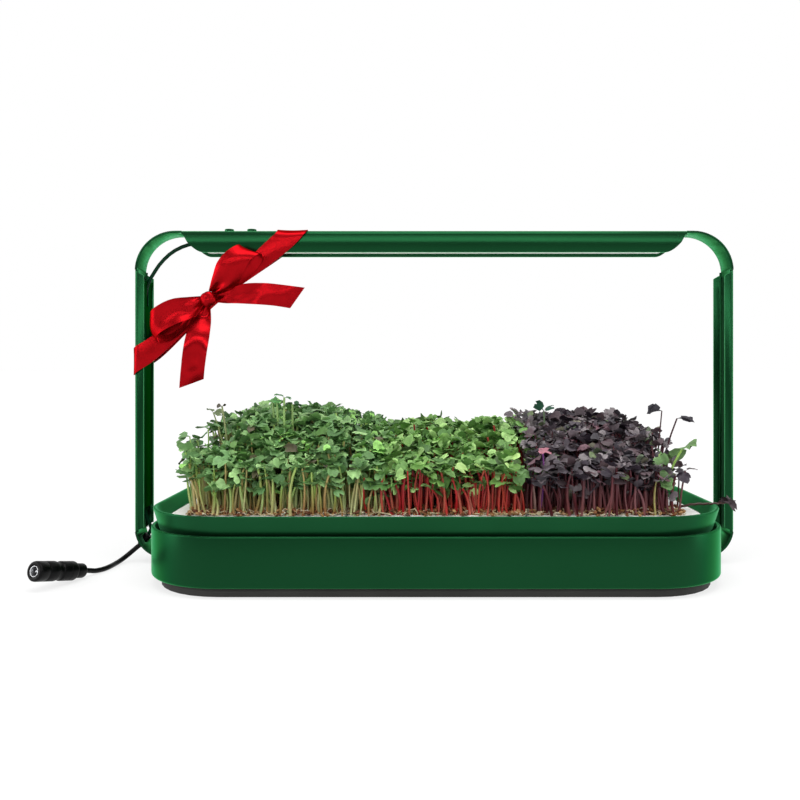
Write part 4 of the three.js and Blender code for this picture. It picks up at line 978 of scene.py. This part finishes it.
loneSprouts = {  # base x y, top x y z, leaf size, leaf and stem colours, narrowness, leaf heading and tilt
    "left": [
        (-144.5, -50, -152, -52, 89, 1.20, (104, 140, 92), (168, 196, 118), 0.65, 3.1, -0.45),
        (-144, -44, -149, -46, 86, 1.20, (92, 128, 82), (168, 196, 118), 1.0),
        (-143, -54, -152, -56, 76, 0.90, (74, 84, 58), (190, 200, 140), 0.8),
        (-141, -40, -143, -42, 93, 1.10, (104, 140, 92), (168, 196, 118), 1.0),
        (-132, -20, -139.7, -20, 106, 0.50, (82, 76, 66), (150, 160, 110), 0.8),
        (-146, -34, -156, -30, 84, 0.70, (104, 122, 92), (176, 190, 120), 1.0),
        (-142, 8, -153, 10, 100.5, 0.75, (118, 136, 96), (160, 176, 110), 1.0),
        (-100, -18, -103.5, -20, 109, 0.95, (84, 140, 78), (150, 186, 110), 1.0),
        (-97, -24, -98.5, -22, 112, 0.80, (70, 118, 70), (150, 186, 110), 1.0),
        (-94, -18, -93.5, -20, 107.5, 0.90, (52, 92, 58), (140, 170, 100), 0.9),
        (-106, -16, -107, -16, 108, 0.60, (96, 144, 80), (150, 186, 110), 1.0),
    ],
    "middle": [],
    "right": [
        (74.5, 0, 75, 0, 102, 0.95, (44, 84, 66), (96, 120, 84), 0.8),
        (144, -22, 150, -18, 103, 1.30, (50, 48, 56), (66, 36, 42), 0.28, 3.1, -0.1),
        (146, -20, 160, -18, 98, 1.85, (56, 52, 60), (66, 36, 42), 0.3, 0.0, 0.1),
        (133, -62, 136, -60, 79, 1.25, (106, 142, 88), (168, 190, 110), 1.0),
        (136, -62, 150, -60, 82.5, 1.30, (104, 138, 86), (150, 190, 90), 1.0),
        (130, -71.5, 130.5, -71.5, 64, 1.25, (108, 144, 90), (190, 180, 110), 1.0, -0.25, 0.9),
        (59, -68, 57, -68, 66, 1.20, (110, 150, 92), (168, 130, 120), 1.0),
        (62, -66, 64, -66, 80, 1.15, (176, 112, 128), (140, 70, 150), 1.0),
    ],
}
hullSettings = Settings(  # share over the whole bed, Y of the whole bed and of its front
    y=(0.55, (-0.0728, 0.0728), (-0.0736, -0.052)), inset=0.0012, rings=4, sides=6,
    shape=(1.0, 0.72, 0.5), size=(0.0011, 0.0020), height=(0.0006, 0.0042), tilt=0.7,
    ends=(0.12, 0.76),  # where the first ring lies and how far the rings reach, in half turns
    colours=[(132, 82, 48), (104, 60, 36), (158, 112, 70), (182, 140, 92)],
)
rootSettings = Settings(
    y=(0.45, (-0.0725, 0.0725), (-0.0734, -0.056)), steps=7, stride=(0.0009, 0.0016),
    curl=0.8, wander=0.3, edgeY=0.0736, start=0.0008, height=(0.0006, 0.004),
    rise=(0.0001, 0.0005), radii=(0.00042, 0.0002), wide=(0.8, 1.4), shake=0.00005,
    colours=[(222, 206, 168), (206, 184, 140), (188, 150, 108), (232, 222, 196)],
)
straySettings = Settings(
    path=[(0.1490, -0.0570, 0.0462), (0.1560, -0.0590, 0.0482), (0.1640, -0.0600, 0.0487),
             (0.1700, -0.0605, 0.0490), (0.1750, -0.0610, 0.0494), (0.1785, -0.0612, 0.0498)],
    radii=(0.0008, 0.0005), stem=(74, 46, 42), leaf=(58, 44, 50), leafLength=0.0046,
    steps=5, sides=5, roll=0.6, fold=0.9, droop=1.2, shake=(0.0002, 1.9),
    leaves=[(0.4, 0.7), (2.4, 0.5), (-0.9, -0.2), (1.5, 0.9), (-2.2, 0.8)],
)


def leafTemplate():  # points (along, across, side), their places in the grid, and faces of a thin leaf
    across = (-1.0, -0.55, 0.0, 0.55, 1.0)
    points, cells, top, bottom = [], [], [], []
    for side, grid in ((1, top), (-1, bottom)):
        for i, (along, width, lag, notch) in enumerate(leafShape):
            row = []
            for j, share in enumerate(across):
                onEdge = j in (0, 4) or i in (0, len(leafShape) - 1)
                if side < 0 and onEdge:
                    row.append(top[i][j])
                    continue
                row.append(len(points))
                cells.append(5 * i + j)
                points.append((along - lag * share * share - (notch if share == 0 else 0), width * share,
                               0.0 if onEdge else side))
            grid.append(row)
    faces = []
    for i in range(len(leafShape) - 1):
        for j in range(4):
            faces.append((top[i][j], top[i + 1][j], top[i + 1][j + 1], top[i][j + 1]))
            faces.append((bottom[i][j], bottom[i][j + 1], bottom[i + 1][j + 1], bottom[i + 1][j]))
    return np.array(points), np.array(cells), faces


def hullTemplate():  # rings of points round a grain of length 2
    points = []
    for i in range(hullSettings.rings):
        angle = math.pi * (hullSettings.ends[0] + hullSettings.ends[1] * i / (hullSettings.rings - 1))
        for j in range(hullSettings.sides):
            around = 2 * math.pi * j / hullSettings.sides
            points.append((math.cos(angle), math.sin(angle) * math.cos(around),
                           math.sin(angle) * math.sin(around)))
    return np.array(points) * hullSettings.shape


leafPoints, leafCells, leafFaces = leafTemplate()
hullPoints = hullTemplate()
leafEdgeHighlightAndRib = np.where(leafPoints[:, 2] == 0, leafSettings.rim,  # the edge is paler as a painted highlight, and the rib is paler as the leaf's own vein
                   np.where(leafCells % 5 == 2, leafSettings.rib, leafSettings.blade))


def placedLeaf(rng, base, azimuth, pitch, roll, length, fold, droop):
    settings = leafSettings
    x = leafPoints[:, 0]
    y = leafPoints[:, 1] * rng.uniform(*settings.width)
    blade = np.clip((x - settings.bladeFrom) / settings.bladeLength, 0, 1)
    z = fold * np.abs(y) + rng.uniform(*settings.curl) * y ** 2 - droop * blade ** 2
    z = z + settings.ripple * np.sin(9 * y + 5 * x + rng.uniform(0, 6)) * blade
    crinkle = rng.normal(0, settings.crinkle, (5 * len(leafShape), 3))[leafCells] * blade[:, None]
    z = z + crinkle[:, 2] + leafPoints[:, 2] * settings.thickness / length / 2
    local = np.stack([x + 0.7 * crinkle[:, 0], y + 0.7 * crinkle[:, 1], z], axis=1) * length
    turn = Matrix.Rotation(azimuth, 3, "Z") @ Matrix.Rotation(-pitch, 3, "Y") @ Matrix.Rotation(roll, 3, "X")
    return local @ np.array(turn).T + base


def tubePoints(path, radii, sides):  # rings round a path of points
    path = np.asarray(path)
    tangents = np.gradient(path, axis=0)
    tangents /= np.linalg.norm(tangents, axis=1)[:, None]
    aside = np.cross(tangents, (0.31, 0.95, 0.05))
    aside /= np.linalg.norm(aside, axis=1)[:, None]
    other = np.cross(tangents, aside)
    angles = (np.arange(sides) * 2 * math.pi / sides)[None, :, None]
    ring = aside[:, None, :] * np.cos(angles) + other[:, None, :] * np.sin(angles)
    return (path[:, None, :] + ring * np.asarray(radii)[:, None, None]).reshape(-1, 3)


def tubeFaces(rings, sides):
    faces = [tuple(range(sides))[::-1], tuple(range((rings - 1) * sides, rings * sides))]
    for i in range(rings - 1):
        for j in range(sides):
            a, b = i * sides + j, i * sides + (j + 1) % sides
            faces.append((a, b, b + sides, a + sides))
    return faces


class PlantMesh:  # gathers points, faces, colours and leaf places of one kind of piece
    def __init__(self):
        self.points, self.faces, self.colours, self.places, self.count = [], [], [], [], 0

    def add(self, points, faces, colours, places=None):
        count = len(points)
        self.faces.extend([tuple(self.count + i for i in face) for face in faces])
        self.points.append(points)
        self.colours.append(np.broadcast_to(colours, (count, 3)))
        self.places.append(np.zeros((count, 2)) if places is None else places)
        self.count += count

    def addTube(self, path, radii, sides, colours):
        self.add(tubePoints(path, radii, sides), tubeFaces(len(path), sides), colours)

    def build(self, name):
        mesh = bpy.data.meshes.new(name)
        mesh.from_pydata(np.concatenate(self.points).tolist(), [], self.faces)
        tint = mesh.color_attributes.new("tint", "FLOAT_COLOR", "POINT")
        flat = np.concatenate(self.colours)
        tint.data.foreach_set("color", np.concatenate([flat, np.ones((len(flat), 1))], axis=1).ravel())
        corner = np.empty(len(mesh.loops), dtype=np.int32)
        mesh.loops.foreach_get("vertex_index", corner)
        layer = mesh.uv_layers.new(name="place")
        layer.data.foreach_set("uv", np.concatenate(self.places)[corner].ravel())
        return linked(mesh)


def toneOf(shade):
    return np.array(colour(*shade)[:3])


def pick(rng, colours):
    return toneOf(colours[int(rng.integers(len(colours)))])


def lookAt(rng, crop, x, y):  # the sprouts' kinds don't change exactly where the pads meet
    settings = bedSettings
    back = (y - settings.frontY) / (settings.backY - settings.frontY)
    pale, red = settings.mix
    if crop == "middle" and x < settings.paleTo + rng.normal(0, pale):
        return cropLooks["left"]
    if crop == "right" and x < settings.redTo + settings.redSlope * back + rng.normal(0, red):
        return cropLooks["middle"]
    return cropLooks[crop]


def fading(distance, height, reach):
    return height * max(0, 1 - distance / reach)


def sproutTop(rng, x, y, look):  # how high the leaves of a sprout at this place open
    settings = heightSettings
    inward = min(1.0, (y - bedSettings.frontY) / settings.slopeDepth)
    ease = inward * inward * (3 - 2 * inward)
    full = look.height
    if look is cropLooks["left"]:
        run = (x - settings.paleFrom) / (bedSettings.paleTo - settings.paleFrom)
        full -= settings.paleFall * min(max(run, 0), 1)
    height = look.front + (full - look.front) * ease
    height += rng.normal(0, settings.unevenness)
    if rng.random() < settings.shortShare + settings.shortFront * (1 - ease):
        height *= rng.uniform(*settings.shortHeight)
    for rise, alongX, alongY, start in settings.waves:
        height += rise * math.sin(alongX * x + alongY * y + start)
    fromLeft, fromRight = settings.end + x, settings.end - x
    height -= fading(fromLeft, *settings.leftFall) + fading(fromRight, *settings.rightFall)
    if y < settings.riseTo:
        height += fading(fromLeft, *settings.leftRise)
    tailX, tailFront, tailBack = settings.tail  # clear of the ribbon's tail when the tray is lifted
    away = max(x - tailX, tailFront - y, y - tailBack, 0)
    return max(min(height, settings.underTail + settings.tailSlope * away), settings.least)


def leafPair(rng, top, azimuth, scale, narrow, turned):  # turned is the heading and tilt of a closed pair
    settings, leaves = leafSettings, []
    spread, shake = rng.uniform(*settings.spread), settings.shake
    for side in (0, 1):
        turn = azimuth + side * math.pi + rng.normal(0, shake)
        pitch = spread + rng.normal(0, shake)
        length = rng.uniform(*settings.length) * scale
        roll, fold = rng.normal(0, settings.roll), rng.uniform(*settings.fold)
        droop = rng.uniform(*settings.droop)
        if turned:
            pitch, roll, droop = settings.closedGap * side, turned[1], settings.closedDroop
            turn = turned[0] + pitch
        leaf = placedLeaf(rng, top, turn, pitch, roll, length, fold, droop)
        if narrow != 1.0:
            across = np.array([-math.sin(turn), math.cos(turn), 0])
            leaf = leaf - np.outer((leaf - leaf.mean(axis=0)) @ across, across) * (1 - narrow)
        leaves.append(leaf)
    return leaves


def addSprout(rng, look, parts, base, height, lean, scale, limits=None, tones=(None, None), narrow=1.0,
              turned=None):
    settings = stemSettings
    top = base + np.array([lean[0], lean[1], height])
    aside, up = settings.bendAside, settings.bendUp
    bend = base + np.array([lean[0] * aside, lean[1] * aside, height * up])
    bend[:2] += rng.normal(0, settings.bend, 2)
    t = np.linspace(0, 1, settings.steps + 1)[:, None]
    path = (1 - t) ** 2 * base + 2 * t * (1 - t) * bend + t ** 2 * top
    path[0, 2] = padTop + settings.root
    wide = rng.uniform(*settings.wide)
    azimuth = rng.uniform(0, 2 * math.pi)
    if limits and min(top[0] - limits[0], limits[1] - top[0]) < settings.nearLimit:
        azimuth = math.pi / 2 + rng.normal(0, leafSettings.alongSide)
    leaves = leafPair(rng, top, azimuth, scale, narrow, turned)
    move = np.zeros(3)
    if limits:  # leaves and stem are kept over their own pad
        lowX, highX = min(leaf[:, 0].min() for leaf in leaves), max(leaf[:, 0].max() for leaf in leaves)
        move[0] = max(0, limits[0] - lowX) - max(0, highX - limits[1])
        path = path + t ** 2 * move
        path[:, 0] = np.clip(path[:, 0], limits[0] + settings.low * wide,
                             limits[1] - settings.low * wide)
    leafTone, stemTone = tones
    low = pick(rng, look.stemLow) if stemTone is None else toneOf(stemTone)
    high = pick(rng, look.stemHigh) if stemTone is None else toneOf(stemTone)
    fade = np.repeat(np.linspace(0, 1, len(path)) ** 0.7, settings.sides)[:, None]
    parts["stems"].addTube(path, np.linspace(settings.low, settings.high, len(path)) * wide,
                           settings.sides, low * (1 - fade) + high * fade)
    for leaf in leaves:
        if leafTone is None:
            odd = rng.random() < look.oddShare
            tone = pick(rng, look.oddLeaf if odd else look.leaf) * rng.uniform(*leafSettings.tone)
        else:
            tone = toneOf(leafTone)
        under = (leafPoints[:, 2] < 0)[:, None]
        # the leaf's tint takes its painted edge highlight and its paler rib here
        shades = np.where(under, tone * leafSettings.under, tone) * leafEdgeHighlightAndRib[:, None]
        parts["leaves"].add(leaf + move, leafFaces, np.clip(shades, 0, 1), leafPoints[:, :2])


def bedY(rng, share, whole, front):  # more of them lie at the front
    return rng.uniform(*whole) if rng.random() < share else rng.uniform(*front)


def addHull(rng, parts, bed):
    settings = hullSettings
    x, y = rng.uniform(bed[0] + settings.inset, bed[1] - settings.inset), bedY(rng, *settings.y)
    size, tilt = rng.uniform(*settings.size), settings.tilt
    turn = Matrix.Rotation(rng.uniform(0, 6.28), 3, "Z") @ Matrix.Rotation(rng.uniform(-tilt, tilt), 3, "Y")
    height = padTop + rng.uniform(*settings.height) * rng.uniform(0.3, 1)
    hull = (hullPoints * size) @ np.array(turn).T + (x, y, height)
    brown = pick(rng, settings.colours)
    parts["seedHulls"].add(hull, tubeFaces(settings.rings, settings.sides), brown)


def addRoot(rng, parts, bed):
    settings = rootSettings
    x, y = rng.uniform(*bed), bedY(rng, *settings.y)
    low = (bed[0], -settings.edgeY, padTop + settings.height[0])
    high = (bed[1], settings.edgeY, padTop + settings.height[1])
    heading, curl = rng.uniform(0, 6.28), rng.normal(0, settings.curl)
    path = [np.array([x, y, padTop + settings.start])]
    for _ in range(settings.steps):
        heading += curl + rng.normal(0, settings.wander)
        step = np.array([math.cos(heading), math.sin(heading), 0]) * rng.uniform(*settings.stride)
        step[2] = rng.normal(*settings.rise)
        path.append(np.clip(path[-1] + step, low, high) + rng.normal(0, settings.shake, 3))
    radii = np.linspace(*settings.radii, len(path)) * rng.uniform(*settings.wide)
    parts["seedHulls"].addTube(path, radii, 4, pick(rng, settings.colours))


def addStray(rng, parts):  # a dead sprout that lies over the tray's rim
    settings = straySettings
    path, (height, turns) = smoothPath(settings.path, settings.steps), settings.shake
    path = path + height * np.sin(np.arange(len(path)) * turns)[:, None]
    radii = np.linspace(*settings.radii, len(path))
    parts["stems"].addTube(path, radii, settings.sides, toneOf(settings.stem))
    for turn, pitch in settings.leaves:
        leaf = placedLeaf(rng, path[-3], turn, pitch, settings.roll, settings.leafLength,
                          settings.fold, settings.droop)
        parts["leaves"].add(leaf, leafFaces, toneOf(settings.leaf), leafPoints[:, :2])


def makeTinted(name, roughness, specular, grainScale, veins):  # the mesh's own tint, clouded and veined
    finish = Finish(name, (0.5, 0.5, 0.5, 1), roughness, specular=specular)
    tint = finish.node("Attribute", {}, attribute_name="tint").outputs["Color"]
    cloud = finish.noise(grainScale, 4.0)
    mixed = finish.multiply(tint, finish.ramp(cloud, 0.25, 0.75, (0.72, 0.72, 0.72, 1), white))
    finish.bump(cloud, 0.2, 0.0004)
    if veins:
        inputs = {"Vector": finish.uv("place"), "Scale": 3.2, "Distortion": 2.0}
        wave = finish.node("TexWave", inputs, wave_type="RINGS").outputs["Fac"]
        mixed = finish.multiply(mixed, finish.ramp(wave, 0.0, 0.35, (1.18, 1.2, 1.1, 1), white))
        finish.bump(wave, 0.12, 0.0003)
    finish.shade({"Base Color": mixed})
    return finish.material


def addRows(rng, crop, parts):  # the sprouts that fill the pad, in staggered and shaken rows
    look, settings = cropLooks[crop], bedSettings
    mixRng = np.random.default_rng(look.seed + 100)
    (bedFrom, bedTo), edge = look.bed, settings.edgeY
    cornerX, cornerY, radius = settings.corner
    rows = round((settings.backY - settings.frontY) / settings.rowPitch)
    for row in range(rows + 1):
        for column in range(round((bedTo - bedFrom) / settings.columnPitch)):
            x = bedFrom + (column + 0.5 + settings.stagger * (row % 2)) * settings.columnPitch
            x = min(max(x + rng.normal(0, settings.scatter[0]), bedFrom), bedTo)
            y = settings.frontY + row * settings.rowPitch + rng.normal(0, settings.scatter[1])
            y = min(max(y, -edge), edge)
            aside, ahead = abs(x) - cornerX, abs(y) - cornerY
            if aside > 0 and ahead > 0 and aside ** 2 + ahead ** 2 > radius ** 2:
                continue
            if x > settings.sparseFrom and rng.random() < settings.sparseShare:
                continue
            kind = lookAt(mixRng, crop, x, y)
            height = sproutTop(rng, x, y, kind)
            lean = rng.normal(0, settings.lean, 2) * (settings.leanAside, 1.0)
            past = max(0, x - settings.leanRight) - max(0, settings.leanLeft - x)
            lean[0] += settings.leanEnds * past / settings.leanReach
            if y < settings.leanFront:
                lean[1] = max(lean[1] - settings.leanCut[0], settings.leanCut[1])
            addSprout(rng, kind, parts, np.array([x, y, padTop]), height, lean,
                      rng.uniform(*settings.leafScale), look.limits)


def addCrop(crop):
    look = cropLooks[crop]
    rng = np.random.default_rng(look.seed)
    parts = {"stems": PlantMesh(), "leaves": PlantMesh(), "seedHulls": PlantMesh()}
    addRows(rng, crop, parts)
    for row in loneSprouts[crop]:
        baseX, baseY, topX, topY, topZ = (value * millimetre for value in row[:5])
        size, leafTone, stemTone, narrow, *turned = row[5:]
        addSprout(rng, look, parts, np.array([baseX, baseY, padTop]), topZ - padTop,
                  (topX - baseX, topY - baseY), size, None, (leafTone, stemTone), narrow, turned)
    for _ in range(bedSettings.hulls):
        addHull(rng, parts, look.bed)
    for _ in range(bedSettings.roots):
        addRoot(rng, parts, look.bed)
    if crop == "right":
        addStray(rng, parts)
    for kind, node, material in (("stems", None, stemFinish), ("leaves", "sprouts_" + crop, leafFinish),
                                 ("seedHulls", None, hullFinish)):
        piece = parts[kind].build(kind + "_" + crop)
        finished(piece, node, material, 45, "crop_" + crop)
    print("crop", crop, "made:", len(parts["leaves"].faces), "leaf faces")


stemFinish = makeTinted("sproutStem", 0.38, 0.35, 500.0, False)
leafFinish = makeTinted("sproutLeaf", 0.46, 0.3, 260.0, True)
hullFinish = makeTinted("seedHull", 0.6, 0.3, 900.0, False)
for cropName in cropNames:
    addCrop(cropName)
